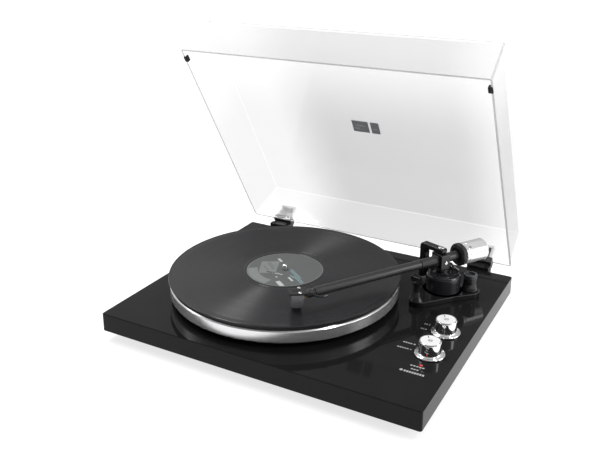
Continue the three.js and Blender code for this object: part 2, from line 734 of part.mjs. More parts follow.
addPart('stylus_holder', atHead(stylusHolder), 0x6b2f2f, 0.4);
const liftFlat = new THREE.Shape();
liftFlat.moveTo(-0.6, -1.6);
liftFlat.lineTo(0.6, -1.6);
liftFlat.lineTo(0.6, 1.6);
liftFlat.lineTo(-0.6, 1.6);
const lugAt = bend - 2;
const fingerLift = swept(liftFlat, [
  [lugAt, neckRadiusHead + 2 * fitGap, armHeight], [lugAt - 1.5, 9, armHeight], [lugAt - 6, 14.5, armHeight + 0.2],
  [lugAt - 13, 18, armHeight + 1.2],
], 16);
addPart('finger_lift', alongArm(fingerLift), black, 0.35);

// Clear cover, drawn closed and then swung up about the hinge pins
const hingeY = plinthDepth / 2 + 9;
const hingeZ = -1.75;
const hingeX = plinthWidth / 2 - 49;
const rimHalf = plinthWidth / 2 - 3.5;
const rimFront = 5 - plinthDepth / 2;
const rimRear = plinthDepth / 2 - 5;
const rimBase = 1.5;
const sideTaper = 4;
const frontTaper = 3.4;
const rearFlare = 8;

function opened(body, angle = openAngle) {
  return body.translate([0, -hingeY, -hingeZ]).rotate([-angle, 0, 0]).translate([0, hingeY, hingeZ]);
}

// One level loop of the cover skin, at a share of its height and a distance inside its outside.
function coverLoop(share, inset, z, corner) {
  const x = rimHalf - sideTaper * share - inset;
  const y0 = rimFront + frontTaper * share + inset;
  const y1 = rimRear + rearFlare * share - inset;
  const outline = roundedRect(-x, x, y0, y1, corner);
  const points = outline.getPoints(4);
  return points.filter((p, i) => i === 0 || p.distanceTo(points[i - 1]) > 1e-6).map((p) => [p.x, p.y, z]);
}

function dustCover() {
  const top = rimBase + coverHeight;
  const round = 1.8;
  const outer = [
    coverLoop(0, 0, rimBase, 3.6),
    coverLoop(1 - round / coverHeight, 0, top - round, 3.6),
    coverLoop(1, round * 0.3, top - round * 0.3, 3.2),
    coverLoop(1, round, top, 2.8),
  ];
  const ceiling = top - coverWall;
  const inner = [
    coverLoop(-1 / coverHeight, coverWall, rimBase - 1, 1.8),
    coverLoop(1 - (coverWall + 0.8) / coverHeight, coverWall, ceiling - 0.8, 1.8),
    coverLoop(1, coverWall + 0.8, ceiling, 1.4),
  ];
  return without(lofted(outer), lofted(inner));
}
addPart('dust_cover', opened(dustCover()), 0xd5d9da, 0.1);

function wallAt(z) {
  return rimRear + rearFlare * (z - rimBase) / coverHeight;
}
const leafHalf = 15.5;
const knuckleHalf = 9.4;
const knuckleRadius = 6;
const pinRadius = 2.4;
const blockLow = hingeZ + knuckleRadius + 1;
const blockHigh = hingeZ + 16;
const tongueFront = hingeY - 8.5;
const tongueBack = hingeY - 6;
const tongueTop = hingeZ + 32.5;
const socketLow = blockHigh + 0.35;
const socketHigh = tongueTop + 2.8;
const socketBack = tongueBack + 2.6;
for (const [side, sign] of [['left', -1], ['right', 1]]) {
  const x = sign * hingeX;
  const plateY = plinthDepth / 2 + fitGap;
  const cheek = (x0, x1) => together(
    barX(knuckleRadius, x0, x1, hingeY, hingeZ, 24),
    box(x0, x1, plateY + 1, hingeY, hingeZ - knuckleRadius, hingeZ + knuckleRadius),
  );
  const base = together(
    box(x - leafHalf, x + leafHalf, plateY, plateY + 2.2, slabBottom + 2, hingeZ + knuckleRadius),
    cheek(x - leafHalf, x - knuckleHalf - 0.4),
    cheek(x + knuckleHalf + 0.4, x + leafHalf),
    barX(pinRadius, x - leafHalf, x + leafHalf, hingeY, hingeZ, 20),
    barX(knuckleRadius - 1.5, x - leafHalf - 0.8, x - leafHalf + 1, hingeY, hingeZ, 20),
    barX(knuckleRadius - 1.5, x + leafHalf - 1, x + leafHalf + 0.8, hingeY, hingeZ, 20),
  );
  addPart(`hinge_base_${side}`, base, black, 0.4);
  const swingBlock = acrossX([
    [hingeY - 9, blockLow + 1], [hingeY - 6, blockLow], [hingeY + 5, blockLow], [hingeY + 7, blockLow + 2],
    [hingeY + 5, blockHigh], [hingeY - 9, blockHigh],
  ], x - leafHalf, x + leafHalf);
  const leaf = without(
    together(
      barX(knuckleRadius, x - knuckleHalf, x + knuckleHalf, hingeY, hingeZ, 24),
      box(x - knuckleHalf, x + knuckleHalf, hingeY - 4.5, hingeY + 4.5, hingeZ + 3.5, blockLow + 2),
      swingBlock,
      box(x - 10, x + 10, tongueFront, tongueBack, blockHigh - 1, tongueTop),
    ),
    barX(pinRadius + fitGap, x - leafHalf, x + leafHalf, hingeY, hingeZ, 20),
  );
  addPart(`hinge_leaf_${side}`, opened(leaf), black, 0.4);
  const socket = without(
    acrossX([
      [wallAt(socketLow) + fitGap, socketLow], [socketBack, socketLow], [socketBack, socketHigh - 2],
      [socketBack - 2, socketHigh], [wallAt(socketHigh) + fitGap, socketHigh],
    ], x - 13, x + 13),
    box(
      x - 10 - fitGap, x + 10 + fitGap, tongueFront - fitGap, tongueBack + fitGap,
      socketLow - 1, tongueTop + fitGap,
    ),
  );
  addPart(`hinge_socket_${side}`, opened(socket), 0xd5d9da, 0.1);
  const bumperX = sign * (rimHalf - coverWall - fitGap - 1.6);
  const bumper = box(bumperX - 1.5, bumperX + 1.5, rimFront + 10, rimFront + 20, fitGap, 5);
  addPart(`cover_bumper_${side}`, opened(bumper), rubber, 0.9);
}

// Onto the part's own frame: floor at z = 0, middle of the whole part at y = 0
const frontEdge = -plinthDepth / 2;
const swungRear = opened(dustCover()).boundingBox().max[1];
const middleY = (frontEdge + swungRear) / 2;
for (const part of group.children) {
  part.geometry.translate(0, -middleY, slabHeight + footHeight);
}

export default group;
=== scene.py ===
import json
import bpy
import bmesh
import math
from mathutils import Matrix, Vector


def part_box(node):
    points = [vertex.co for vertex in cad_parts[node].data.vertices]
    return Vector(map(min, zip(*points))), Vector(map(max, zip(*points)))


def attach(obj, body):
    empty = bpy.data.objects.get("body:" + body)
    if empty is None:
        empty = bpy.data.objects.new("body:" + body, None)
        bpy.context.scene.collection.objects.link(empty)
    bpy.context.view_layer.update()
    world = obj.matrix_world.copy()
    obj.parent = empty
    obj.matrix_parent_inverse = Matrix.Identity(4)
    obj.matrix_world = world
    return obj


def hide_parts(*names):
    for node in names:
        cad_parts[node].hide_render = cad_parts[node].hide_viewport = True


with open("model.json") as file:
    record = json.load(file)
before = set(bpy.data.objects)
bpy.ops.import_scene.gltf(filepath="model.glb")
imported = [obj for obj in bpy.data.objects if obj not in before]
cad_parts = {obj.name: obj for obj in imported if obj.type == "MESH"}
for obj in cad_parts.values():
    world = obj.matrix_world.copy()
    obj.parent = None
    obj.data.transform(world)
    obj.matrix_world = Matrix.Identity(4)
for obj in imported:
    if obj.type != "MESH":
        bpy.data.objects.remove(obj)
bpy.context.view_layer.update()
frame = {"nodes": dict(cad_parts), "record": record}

# All sizes below are in millimetres, measured from the middle of the plinth's top face.
plinthLow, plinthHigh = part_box("plinth")
deck = Vector(((plinthLow.x + plinthHigh.x) / 2, (plinthLow.y + plinthHigh.y) / 2, plinthHigh.z))
plinthWidth = (plinthHigh.x - plinthLow.x) * 1000
plinthDepth = (plinthHigh.y - plinthLow.y) * 1000
slabHeight = (plinthHigh.z - plinthLow.z) * 1000
joints = {j["name"]: j for j in frame["record"]["behaviour"]["joints"]}

# The camera comes first.
cameraView = {"lens": 46.28, "turn": 28.9, "tilt": 18.0, "spot": (419.0, -804.8, 463.9), "shiftY": -0.0905}


def deckPoint(x, y, z):
    return deck + Vector((x, y, z)) / 1000


cameraData = bpy.data.cameras.new("camera")
cameraData.lens = cameraView["lens"]
cameraData.sensor_width = 36
cameraData.shift_y = cameraView["shiftY"]
cameraData.clip_start = 0.01
cameraData.clip_end = 50
camera = bpy.data.objects.new("camera", cameraData)
camera.location = deckPoint(*cameraView["spot"])
camera.rotation_euler = (math.radians(90 - cameraView["tilt"]), 0, math.radians(cameraView["turn"]))
bpy.context.scene.collection.objects.link(camera)
bpy.context.scene.camera = camera
bpy.context.scene.view_settings.view_transform = "Standard"
print("camera ready")


def span(node):
    # Lowest and highest corner of a CAD node, in millimetres from the deck's middle.
    low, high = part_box(node)
    return (low - deck) * 1000, (high - deck) * 1000


def middleOf(low, high):
    return (low.x + high.x) / 2, (low.y + high.y) / 2


def softened(points, radius, steps=3, closed=False):
    # Rounds each corner of a profile with a short curve.
    result = []
    count = len(points)
    for i, point in enumerate(points):
        if not closed and i in (0, count - 1):
            result.append(tuple(point))
            continue
        here = Vector(point)
        before = Vector(points[i - 1])
        after = Vector(points[(i + 1) % count])
        reach = min(radius, (before - here).length * 0.45, (after - here).length * 0.45)
        if reach < 1e-4:
            result.append(tuple(point))
            continue
        start = here + (before - here).normalized() * reach
        end = here + (after - here).normalized() * reach
        for k in range(steps + 1):
            t = k / steps
            result.append(tuple(start * (1 - t) ** 2 + here * 2 * t * (1 - t) + end * t * t))
    return result


def skin(loops, wrap=False):
    # Joins loops of points, each with the same count, into one closed mesh.
    bm = bmesh.new()
    rings = [[bm.verts.new(Vector(p) / 1000) for p in loop] for loop in loops]
    count = len(rings[0])
    pairs = list(zip(rings, rings[1:]))
    if wrap:
        pairs.append((rings[-1], rings[0]))
    for lower, upper in pairs:
        for i in range(count):
            j = (i + 1) % count
            bm.faces.new((lower[i], lower[j], upper[j], upper[i]))
    if not wrap:
        bm.faces.new(list(reversed(rings[0])))
        bm.faces.new(rings[-1])
    return bm


def lathe(profile, segments=96, closed=False):
    # Turns a profile of (radius, height) about the upright axis.
    bm = bmesh.new()
    rings = []
    for r, z in profile:
        if r < 1e-6:
            rings.append([bm.verts.new((0, 0, z / 1000))])
            continue
        ring = []
        for i in range(segments):
            a = 2 * math.pi * i / segments
            ring.append(bm.verts.new((r * math.cos(a) / 1000, r * math.sin(a) / 1000, z / 1000)))
        rings.append(ring)
    pairs = list(zip(rings, rings[1:]))
    if closed:
        pairs.append((rings[-1], rings[0]))
    for lower, upper in pairs:
        for i in range(segments):
            j = (i + 1) % segments
            if len(lower) == 1 and len(upper) == 1:
                break
            if len(lower) == 1:
                bm.faces.new((lower[0], upper[j], upper[i]))
            elif len(upper) == 1:
                bm.faces.new((lower[i], lower[j], upper[0]))
            else:
                bm.faces.new((lower[i], lower[j], upper[j], upper[i]))
    return bm


def insetLoop(outline, amount):
    # Moves a counter-clockwise outline inwards by about the same amount everywhere.
    result = []
    count = len(outline)
    for i in range(count):
        here = Vector(outline[i]).to_2d()
        before = (here - Vector(outline[i - 1]).to_2d()).normalized()
        after = (Vector(outline[(i + 1) % count]).to_2d() - here).normalized()
        n1 = Vector((before.y, -before.x))
        n2 = Vector((after.y, -after.x))
        n = n1 + n2
        if n.length < 1e-6:
            n = n1
        n.normalize()
        stretch = 1 / max(0.5, n.dot(n1))
        result.append((here.x - n.x * amount * stretch, here.y - n.y * amount * stretch))
    return result


def prism(outline, z0, z1, edge=0.6, steps=3, bottomEdge=None):
    # Raises an outline between two heights with rounded top and bottom edges.
    lowEdge = edge if bottomEdge is None else bottomEdge
    loops = []
    for k in range(steps + 1 if lowEdge else 1):
        a = math.pi / 2 * k / steps if lowEdge else 0
        inner = insetLoop(outline, lowEdge * (1 - math.sin(a))) if lowEdge else outline
        loops.append([(x, y, z0 + lowEdge * (1 - math.cos(a))) for x, y in inner])
    for k in range(steps + 1 if edge else 1):
        a = math.pi / 2 * k / steps if edge else 0
        inner = insetLoop(outline, edge * (1 - math.cos(a))) if edge else outline
        loops.append([(x, y, z1 - edge * (1 - math.sin(a))) for x, y in inner])
    return skin(loops)


def roundedBox(x0, x1, y0, y1, corner=1.0, steps=4):
    points = []
    for cx, cy, first in (
        (x1 - corner, y0 + corner, -90), (x1 - corner, y1 - corner, 0),
        (x0 + corner, y1 - corner, 90), (x0 + corner, y0 + corner, 180),
    ):
        for k in range(steps + 1):
            a = math.radians(first + 90 * k / steps)
            points.append((cx + corner * math.cos(a), cy + corner * math.sin(a)))
    return points


def block(x0, x1, y0, y1, z0, z1, corner=1.0, edge=0.5):
    return prism(roundedBox(x0, x1, y0, y1, corner), z0, z1, edge)


def ringPrism(outer, inner, z0, z1, edge=0.5, steps=2):
    # A frame: outline with a hole of the same point count, its four edges rounded in turn.
    loops = []
    for outline, inward, z, upward, flatFirst in (
        (outer, 1, z1, -1, True), (inner, -1, z1, -1, False), (inner, -1, z0, 1, True),
        (outer, 1, z0, 1, False),
    ):
        for k in range(steps + 1):
            a = math.pi / 2 * k / steps
            aside, rise = (math.cos(a), math.sin(a)) if flatFirst else (math.sin(a), math.cos(a))
            loop = insetLoop(outline, inward * edge * (1 - aside))
            loops.append([(x, y, z + upward * edge * (1 - rise)) for x, y in loop])
    return skin(loops, wrap=True)


def aroundCircles(ax, ay, ra, bx, by, rb, steps=28):
    # Outline of a band drawn tight around two circles.
    heading = math.atan2(by - ay, bx - ax)
    spread = math.acos((ra - rb) / math.hypot(bx - ax, by - ay))
    points = []
    for k in range(steps + 1):
        a = heading + spread + (2 * math.pi - 2 * spread) * k / steps
        points.append((ax + ra * math.cos(a), ay + ra * math.sin(a)))
    for k in range(steps + 1):
        a = heading - spread + 2 * spread * k / steps
        points.append((bx + rb * math.cos(a), by + rb * math.sin(a)))
    return points


def curved(points, steps=8):
    # Smooth line through the points.
    result = []
    pts = [Vector(p) for p in points]
    ends = [pts[0] * 2 - pts[1]] + pts + [pts[-1] * 2 - pts[-2]]
    for i in range(1, len(ends) - 2):
        a, b, c, d = ends[i - 1:i + 3]
        for k in range(steps):
            t = k / steps
            result.append(0.5 * (2 * b + (c - a) * t + (2 * a - 5 * b + 4 * c - d) * t * t
                                 + (3 * b - a - 3 * c + d) * t ** 3))
    result.append(pts[-1])
    return result


def sweep(path, wide, tall, sides=16, power=1.0):
    # Carries an oval section along a path; a power under 1 squares the oval.
    loops = []
    count = len(path)
    for i, spot in enumerate(path):
        ahead = path[min(i + 1, count - 1)] - path[max(i - 1, 0)]
        ahead.normalize()
        side = ahead.cross(Vector((0, 0, 1))).normalized()
        top = side.cross(ahead)
        loop = []
        for k in range(sides):
            a = 2 * math.pi * k / sides
            ca, sa = math.cos(a), math.sin(a)
            ca = math.copysign(abs(ca) ** power, ca)
            sa = math.copysign(abs(sa) ** power, sa)
            loop.append(spot + side * ca * wide / 2 + top * sa * tall / 2)
        loops.append(loop)
    return skin(loops)


def tipped(bm):
    # Lays a shape drawn as (y, z) outlines along x.
    return moved(bm, Matrix(((0, 0, 1), (1, 0, 0), (0, 1, 0))).to_4x4())


def merged(*parts):
    # Several closed bodies in one mesh.
    bm = bmesh.new()
    for part in parts:
        spare = bpy.data.meshes.new("spare")
        part.to_mesh(spare)
        part.free()
        bm.from_mesh(spare)
        bpy.data.meshes.remove(spare)
    return bm


def moved(bm, matrix):
    bm.transform(matrix)
    return bm


def along(direction, up=(0, 0, 1)):
    # Basis whose local z runs along a direction.
    z = Vector(direction).normalized()
    x = Vector(up)
    x = (x - z * x.dot(z)).normalized()
    y = z.cross(x)
    return Matrix((x, y, z)).transposed()


def piece(name, bm, body, material, at=(0, 0, 0), basis=None, instead=(), sharp=32):
    bmesh.ops.remove_doubles(bm, verts=bm.verts, dist=1e-7)
    bmesh.ops.recalc_face_normals(bm, faces=bm.faces)
    turn = (basis or Matrix.Identity(3)).to_4x4()
    if body == "cover":  # cover pieces are turned in the mesh itself, so their boxes stay tight
        bm.transform(turn)
        turn = Matrix.Identity(4)
    mesh = bpy.data.meshes.new(name)
    bm.to_mesh(mesh)
    bm.free()
    mesh.shade_smooth()
    mesh.set_sharp_from_angle(angle=math.radians(sharp))
    mesh.materials.append(material)
    obj = bpy.data.objects.new(name, mesh)
    bpy.context.scene.collection.objects.link(obj)
    even = obj.modifiers.new("evenShade", "WEIGHTED_NORMAL")
    even.keep_sharp = True
    obj.matrix_world = Matrix.Translation(deckPoint(*at)) @ turn
    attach(obj, body)
    if instead:
        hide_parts(*instead)
    return obj


def finish(name, colour, rough=0.4, metal=0.0, tint=0.15, tintScale=40.0, roughSpread=0.08,
           roughScale=120.0, grain=0.0, grainScale=900.0, brushed=None, rings=None, coat=0.0,
           level=0.5, anisotropy=0.0):
    # One procedural finish: colour drift, uneven gloss, and a fine surface relief.
    material = bpy.data.materials.new(name)
    material.use_nodes = True
    nodes, links = material.node_tree.nodes, material.node_tree.links
    shader = nodes["Principled BSDF"]
    shader.inputs["Metallic"].default_value = metal
    shader.inputs["Specular IOR Level"].default_value = level
    shader.inputs["Coat Weight"].default_value = coat
    shader.inputs["Coat Roughness"].default_value = 0.05
    if anisotropy:
        shader.inputs["Anisotropic"].default_value = anisotropy
        shader.inputs["Anisotropic Rotation"].default_value = 0.25  # gloss spreads across the turned lines
        tangent = nodes.new("ShaderNodeTangent")
        tangent.direction_type = "RADIAL"
        tangent.axis = "Z"
        links.new(tangent.outputs["Tangent"], shader.inputs["Tangent"])
    where = nodes.new("ShaderNodeTexCoord")

    drift = nodes.new("ShaderNodeTexNoise")
    drift.inputs["Scale"].default_value = tintScale
    drift.inputs["Detail"].default_value = 3
    links.new(where.outputs["Object"], drift.inputs["Vector"])
    shade = nodes.new("ShaderNodeMix")
    shade.data_type = "RGBA"
    shade.inputs[6].default_value = (*[c * (1 - tint) for c in colour], 1)
    shade.inputs[7].default_value = (*[min(1, c * (1 + tint)) for c in colour], 1)
    links.new(drift.outputs["Fac"], shade.inputs[0])
    links.new(shade.outputs[2], shader.inputs["Base Color"])

    wear = nodes.new("ShaderNodeTexNoise")
    wear.inputs["Scale"].default_value = roughScale
    wear.inputs["Detail"].default_value = 4
    links.new(where.outputs["Object"], wear.inputs["Vector"])
    gloss = nodes.new("ShaderNodeMapRange")
    gloss.inputs["To Min"].default_value = max(0.02, rough - roughSpread)
    gloss.inputs["To Max"].default_value = min(1, rough + roughSpread)
    links.new(wear.outputs["Fac"], gloss.inputs["Value"])
    links.new(gloss.outputs["Result"], shader.inputs["Roughness"])

    height = None
    if rings:
        wave = nodes.new("ShaderNodeTexWave")
        wave.wave_type = "RINGS"
        wave.rings_direction = "Z"
        wave.inputs["Scale"].default_value = rings[0]
        wave.inputs["Distortion"].default_value = 0.15
        wave.inputs["Detail"].default_value = 1
        links.new(where.outputs["Object"], wave.inputs["Vector"])
        height, strength, distance = wave.outputs["Fac"], rings[1], rings[2]
    elif brushed:
        lines = nodes.new("ShaderNodeTexNoise")
        lines.inputs["Scale"].default_value = brushed[0]
        lines.inputs["Detail"].default_value = 2
        run = nodes.new("ShaderNodeMapping")
        run.inputs["Scale"].default_value = brushed[3]
        links.new(where.outputs["Object"], run.inputs["Vector"])
        links.new(run.outputs["Vector"], lines.inputs["Vector"])
        height, strength, distance = lines.outputs["Fac"], brushed[1], brushed[2]
    elif grain:
        specks = nodes.new("ShaderNodeTexNoise")
        specks.inputs["Scale"].default_value = grainScale
        specks.inputs["Detail"].default_value = 2
        links.new(where.outputs["Object"], specks.inputs["Vector"])
        height, strength, distance = specks.outputs["Fac"], grain, 0.0002
    if height is not None:
        bump = nodes.new("ShaderNodeBump")
        bump.inputs["Strength"].default_value = strength
        bump.inputs["Distance"].default_value = distance
        links.new(height, bump.inputs["Height"])
        links.new(bump.outputs["Normal"], shader.inputs["Normal"])
    return material


glossBlack = finish("glossLacquer", (0.0115, 0.0118, 0.0122), rough=0.05, roughSpread=0.02, tint=0.25,
                    tintScale=25, roughScale=60, grain=0.02, grainScale=60, level=0.1)
satinBlack = finish("satinMoulding", (0.014, 0.014, 0.015), rough=0.36, roughSpread=0.08, grain=0.25,
                    grainScale=1600, level=0.4)
armBlack = finish("armAnodised", (0.024, 0.024, 0.025), rough=0.32, roughSpread=0.05, level=0.5, grain=0.12,
                  grainScale=2200)
turretBlack = finish("turretGloss", (0.02, 0.021, 0.023), rough=0.12, roughSpread=0.04, grain=0.02,
                     grainScale=200)
metalBlack = finish("blackPaintedMetal", (0.013, 0.013, 0.014), rough=0.2, roughSpread=0.06, grain=0.1,
                    grainScale=1200, level=0.4)
rubberBlack = finish("rubber", (0.011, 0.011, 0.011), rough=0.75, roughSpread=0.1, grain=0.5, grainScale=2600)
platterSide = finish("platterTurned", (0.8, 0.805, 0.81), rough=0.24, roughSpread=0.03, metal=0.8, tint=0.04,
                     brushed=(500, 0.1, 0.0001, (0.02, 0.02, 3.0)), roughScale=300)
platterEdge = finish("platterBrightEdge", (0.9, 0.9, 0.9), rough=0.12, metal=1.0, tint=0.03)
vinylBlack = finish("vinylGrooves", (0.012, 0.0125, 0.014), rough=0.3, roughSpread=0.04, tint=0.2,
                    rings=(420, 0.06, 0.0001), level=0.4, anisotropy=0.95)
labelPaper = finish("labelPaper", (0.1, 0.106, 0.104), rough=0.5, roughSpread=0.1, tint=0.1, tintScale=60,
                    grain=0.1, grainScale=2500)
printLight = finish("printLight", (0.2, 0.215, 0.21), rough=0.5, tint=0.2, tintScale=250)
printTeal = finish("printTeal", (0.2, 0.3, 0.31), rough=0.5, tint=0.25, tintScale=250)
printWhite = finish("printWhite", (0.5, 0.52, 0.51), rough=0.5, tint=0.06, tintScale=300)
printDim = finish("printDim", (0.1, 0.11, 0.11), rough=0.5, tint=0.2, tintScale=200)
deckPrint = finish("deckPrint", (0.42, 0.42, 0.42), rough=0.5, tint=0.1, tintScale=500)
chromeBright = finish("chromePlate", (0.86, 0.865, 0.87), rough=0.07, roughSpread=0.03, metal=1.0, tint=0.03)
# Painted highlight: the knobs' spun tops get a near-white, mostly non-metal colour so they show as bright as
# the overhead light's reflection; the turned rings are a bump.
chromeTopPaintedSheen = finish("spunTopPaintedSheen", (0.95, 0.95, 0.95), rough=0.35, roughSpread=0.05, metal=0.25, tint=0.03,
                   rings=(700, 0.08, 0.0001))
weightSilver = finish("weightNickel", (0.86, 0.865, 0.87), rough=0.16, roughSpread=0.04, metal=0.6, tint=0.03,
                      brushed=(700, 0.05, 0.0001, (0.04, 0.04, 6.0)))
steelGrey = finish("brushedSteel", (0.5, 0.51, 0.52), rough=0.35, metal=1.0, tint=0.08,
                   brushed=(600, 0.15, 0.0003, (8.0, 0.3, 0.3)))
brassTurned = finish("brassTurned", (0.62, 0.46, 0.2), rough=0.25, metal=1.0, tint=0.08,
                     rings=(500, 0.1, 0.0002))
cartridgeGrey = finish("cartridgeGrey", (0.23, 0.23, 0.24), rough=0.3, metal=0.5, tint=0.1, grain=0.15)
stylusRed = finish("stylusMoulding", (0.12, 0.03, 0.03), rough=0.35, tint=0.15, grain=0.15)
boardGreen = finish("boardLacquer", (0.02, 0.12, 0.05), rough=0.35, tint=0.3, tintScale=180, grain=0.2)
switchBlue = finish("switchMoulding", (0.03, 0.05, 0.1), rough=0.45, tint=0.15, grain=0.3)
lampRed = finish("lampLens", (0.75, 0.03, 0.02), rough=0.12, tint=0.15, coat=0.4)
jackWhite = finish("jackWhite", (0.75, 0.75, 0.73), rough=0.3, tint=0.05, grain=0.1)
jackRed = finish("jackRed", (0.5, 0.03, 0.03), rough=0.3, tint=0.1, grain=0.1)
dialGrey = finish("dialGrey", (0.022, 0.025, 0.027), rough=0.3, tint=0.1, grain=0.2)
badgeDark = finish("badgeGrey", (0.2, 0.21, 0.215), rough=0.35, tint=0.25, tintScale=220)
badgePale = finish("badgePale", (0.32, 0.34, 0.35), rough=0.35, tint=0.2, tintScale=220)


def ranged(tree, source, fromMin, fromMax, toMin, toMax):
    # A smooth change from one value to another, in a material or the world.
    step = tree.nodes.new("ShaderNodeMapRange")
    step.interpolation_type = "SMOOTHSTEP"
    for key, value in (("From Min", fromMin), ("From Max", fromMax), ("To Min", toMin), ("To Max", toMax)):
        step.inputs[key].default_value = value
    tree.links.new(source, step.inputs["Value"])
    return step.outputs["Result"]


def multiplied(tree, first, second):
    step = tree.nodes.new("ShaderNodeMath")
    step.operation = "MULTIPLY"
    tree.links.new(first, step.inputs[0])
    tree.links.new(second, step.inputs[1])
    return step.outputs["Value"]


def clearFinish(name, colour, thin, edge):
    # Clear acrylic: faint face on, stronger at grazing angles, with hairline scuffs.
    material = finish(name, colour, rough=0.05, roughSpread=0.03, tint=0.03, tintScale=8, grain=0.01,
                      grainScale=30, level=0.5)
    nodes, links = material.node_tree.nodes, material.node_tree.links
    shader = nodes["Principled BSDF"]
    facing = nodes.new("ShaderNodeLayerWeight")
    facing.inputs["Blend"].default_value = 0.28
    ramp = nodes.new("ShaderNodeMapRange")
    ramp.inputs["To Min"].default_value = thin
    ramp.inputs["To Max"].default_value = edge
    links.new(facing.outputs["Facing"], ramp.inputs["Value"])
    links.new(ramp.outputs["Result"], shader.inputs["Alpha"])
    return material


clearAcrylic = clearFinish("clearAcrylic", (0.2, 0.205, 0.205), 0.13, 0.5)
acrylicEdge = clearFinish("acrylicEdge", (0.34, 0.35, 0.35), 0.55, 0.85)
# Painted reflection lines: a greyer, more opaque copy of the clear acrylic for the bends along the front
# edges.
acrylicReflectionLine = clearFinish("acrylicReflectionLine", (0.25, 0.255, 0.255), 0.28, 0.5)
clearSocket = clearFinish("clearSocket", (0.5, 0.52, 0.53), 0.05, 0.45)
tongueSteel = finish("tongueSteel", (0.14, 0.15, 0.155), rough=0.35, metal=0.6, tint=0.2, tintScale=300,
                     brushed=(500, 0.3, 0.0003, (6.0, 0.4, 0.4)))
print("finishes ready")


# CAD pieces that keep their own shape and only get a finish.
keptFinish = {
    "plinth": glossBlack, "bottom_panel": satinBlack, "bearing_housing": steelGrey,
    "thrust_ball": chromeBright, "motor_can": steelGrey, "motor_bracket": steelGrey,
    "drive_belt": rubberBlack, "circuit_board": boardGreen, "speed_switch": switchBlue,
    "function_switch": switchBlue, "jack_plate": satinBlack, "motor_pulley": brassTurned,
    "lift_rest": satinBlack, "lever_bracket": satinBlack, "phono_jack_left": jackWhite,
    "phono_jack_right": jackRed, "ground_post": steelGrey, "power_inlet": satinBlack,
}
for node, material in keptFinish.items():
    obj = frame["nodes"][node]
    obj.data.materials.clear()
    obj.data.materials.append(material)

# Platter, mat and record
platterLow, platterHigh = span("platter")
recordLow, recordHigh = span("record")
labelLow, labelHigh = span("record_label")
spindleLow, spindleHigh = span("spindle")
matLow, matHigh = span("slip_mat")
centreX, centreY = middleOf(platterLow, platterHigh)
spinAt = (centreX, centreY, 0)
boreRadius = 3.9
platterShape = {
    "radius": (platterHigh.x - platterLow.x) / 2, "top": platterHigh.z, "rimBottom": 6.0, "edge": 1.3,
    "drum": 80.0, "drumWall": 4.0, "drumBottom": 7.0, "rimWall": 6.5, "web": 6.0, "hub": 12.0,
}


def buildPlatter(s):
    r, top, e = s["radius"], s["top"], s["edge"]
    web = top - s["web"]
    drumIn = s["drum"] - s["drumWall"]
    bottom = platterLow.z
    profile = [
        (boreRadius, bottom), (s["hub"], bottom), (s["hub"], web), (drumIn, web), (drumIn, s["drumBottom"]),
        (s["drum"], s["drumBottom"]),
        (s["drum"], web), (r - s["rimWall"], web), (r - s["rimWall"], s["rimBottom"]),
        (r - 1.6, s["rimBottom"]), (r - 0.5, s["rimBottom"] + 1.1), (r - 0.5, s["rimBottom"] + 1.7),
        (r, s["rimBottom"] + 2.0), (r, top - e), (r - e, top), (boreRadius, top),
    ]
    piece("platter_turned", lathe(softened(profile, 0.35, 2, True), 200, True), "turntable", platterSide,
                 spinAt, instead=["platter"], sharp=25)
    ring = [(r - e - 1.8, top - 0.2), (r - e - 0.15, top + 0.02), (r + 0.01, top - e - 0.1),
            (r - 0.25, top - e - 0.3), (r - e - 1.8, top - e)]
    piece("platter_edge", lathe(ring, 200, True), "turntable", platterEdge,
                 spinAt, sharp=25)


buildPlatter(platterShape)

matShape = {"radius": (matHigh.x - matLow.x) / 2, "ribs": 9, "rib": 0.35, "firstRib": 8, "ribStep": 14}
matProfile = [(boreRadius, matLow.z), (matShape["radius"] - 0.6, matLow.z),
              (matShape["radius"], matLow.z + 0.6), (matShape["radius"], matHigh.z - 0.8),
              (matShape["radius"] - 0.8, matHigh.z)]
for k in range(matShape["ribs"]):
    r = matShape["radius"] - matShape["firstRib"] - k * matShape["ribStep"]
    matProfile += [(r, matHigh.z), (r - 0.8, matHigh.z - matShape["rib"]),
                   (r - 2.4, matHigh.z - matShape["rib"]), (r - 3.2, matHigh.z)]
matProfile += [(boreRadius, matHigh.z)]
piece("slip_mat_ribbed", lathe(matProfile, 160, True), "turntable", rubberBlack,
      spinAt, instead=["slip_mat"])

discShape = {"lip": 1.6, "drop": 0.28, "gaps": (142.5, 123.0, 104.5, 86.5, 70.0), "gapWidth": 0.8,
             "gapDepth": 0.05, "deadWax": 60.0, "label": 50.3}


def buildDisc(s):
    r = (recordHigh.x - recordLow.x) / 2
    top = recordHigh.z
    low = recordLow.z
    face = top - s["drop"]
    floorZ = labelLow.z - 0.12
    profile = [(boreRadius, low), (r - 0.8, low), (r - 0.15, low + 0.35), (r, (low + top) / 2),
               (r - 0.15, top - 0.35), (r - 0.7, top - 0.04), (r - s["lip"], top), (r - s["lip"] - 1.4, face)]
    for gap in s["gaps"]:
        profile += [(gap, face), (gap - 0.15, face - s["gapDepth"]),
                    (gap - s["gapWidth"], face - s["gapDepth"]), (gap - s["gapWidth"] - 0.15, face)]
    profile += [(s["deadWax"], face), (s["deadWax"] - 0.2, face - 0.08), (s["label"] + 3.5, face - 0.08),
                (s["label"] + 2.6, face + 0.16), (s["label"] + 1.2, face + 0.16), (s["label"], floorZ),
                (boreRadius, floorZ)]
    piece("record_disc", lathe(profile, 220, True), "turntable", vinylBlack,
                 spinAt, instead=["record"], sharp=12)


buildDisc(discShape)


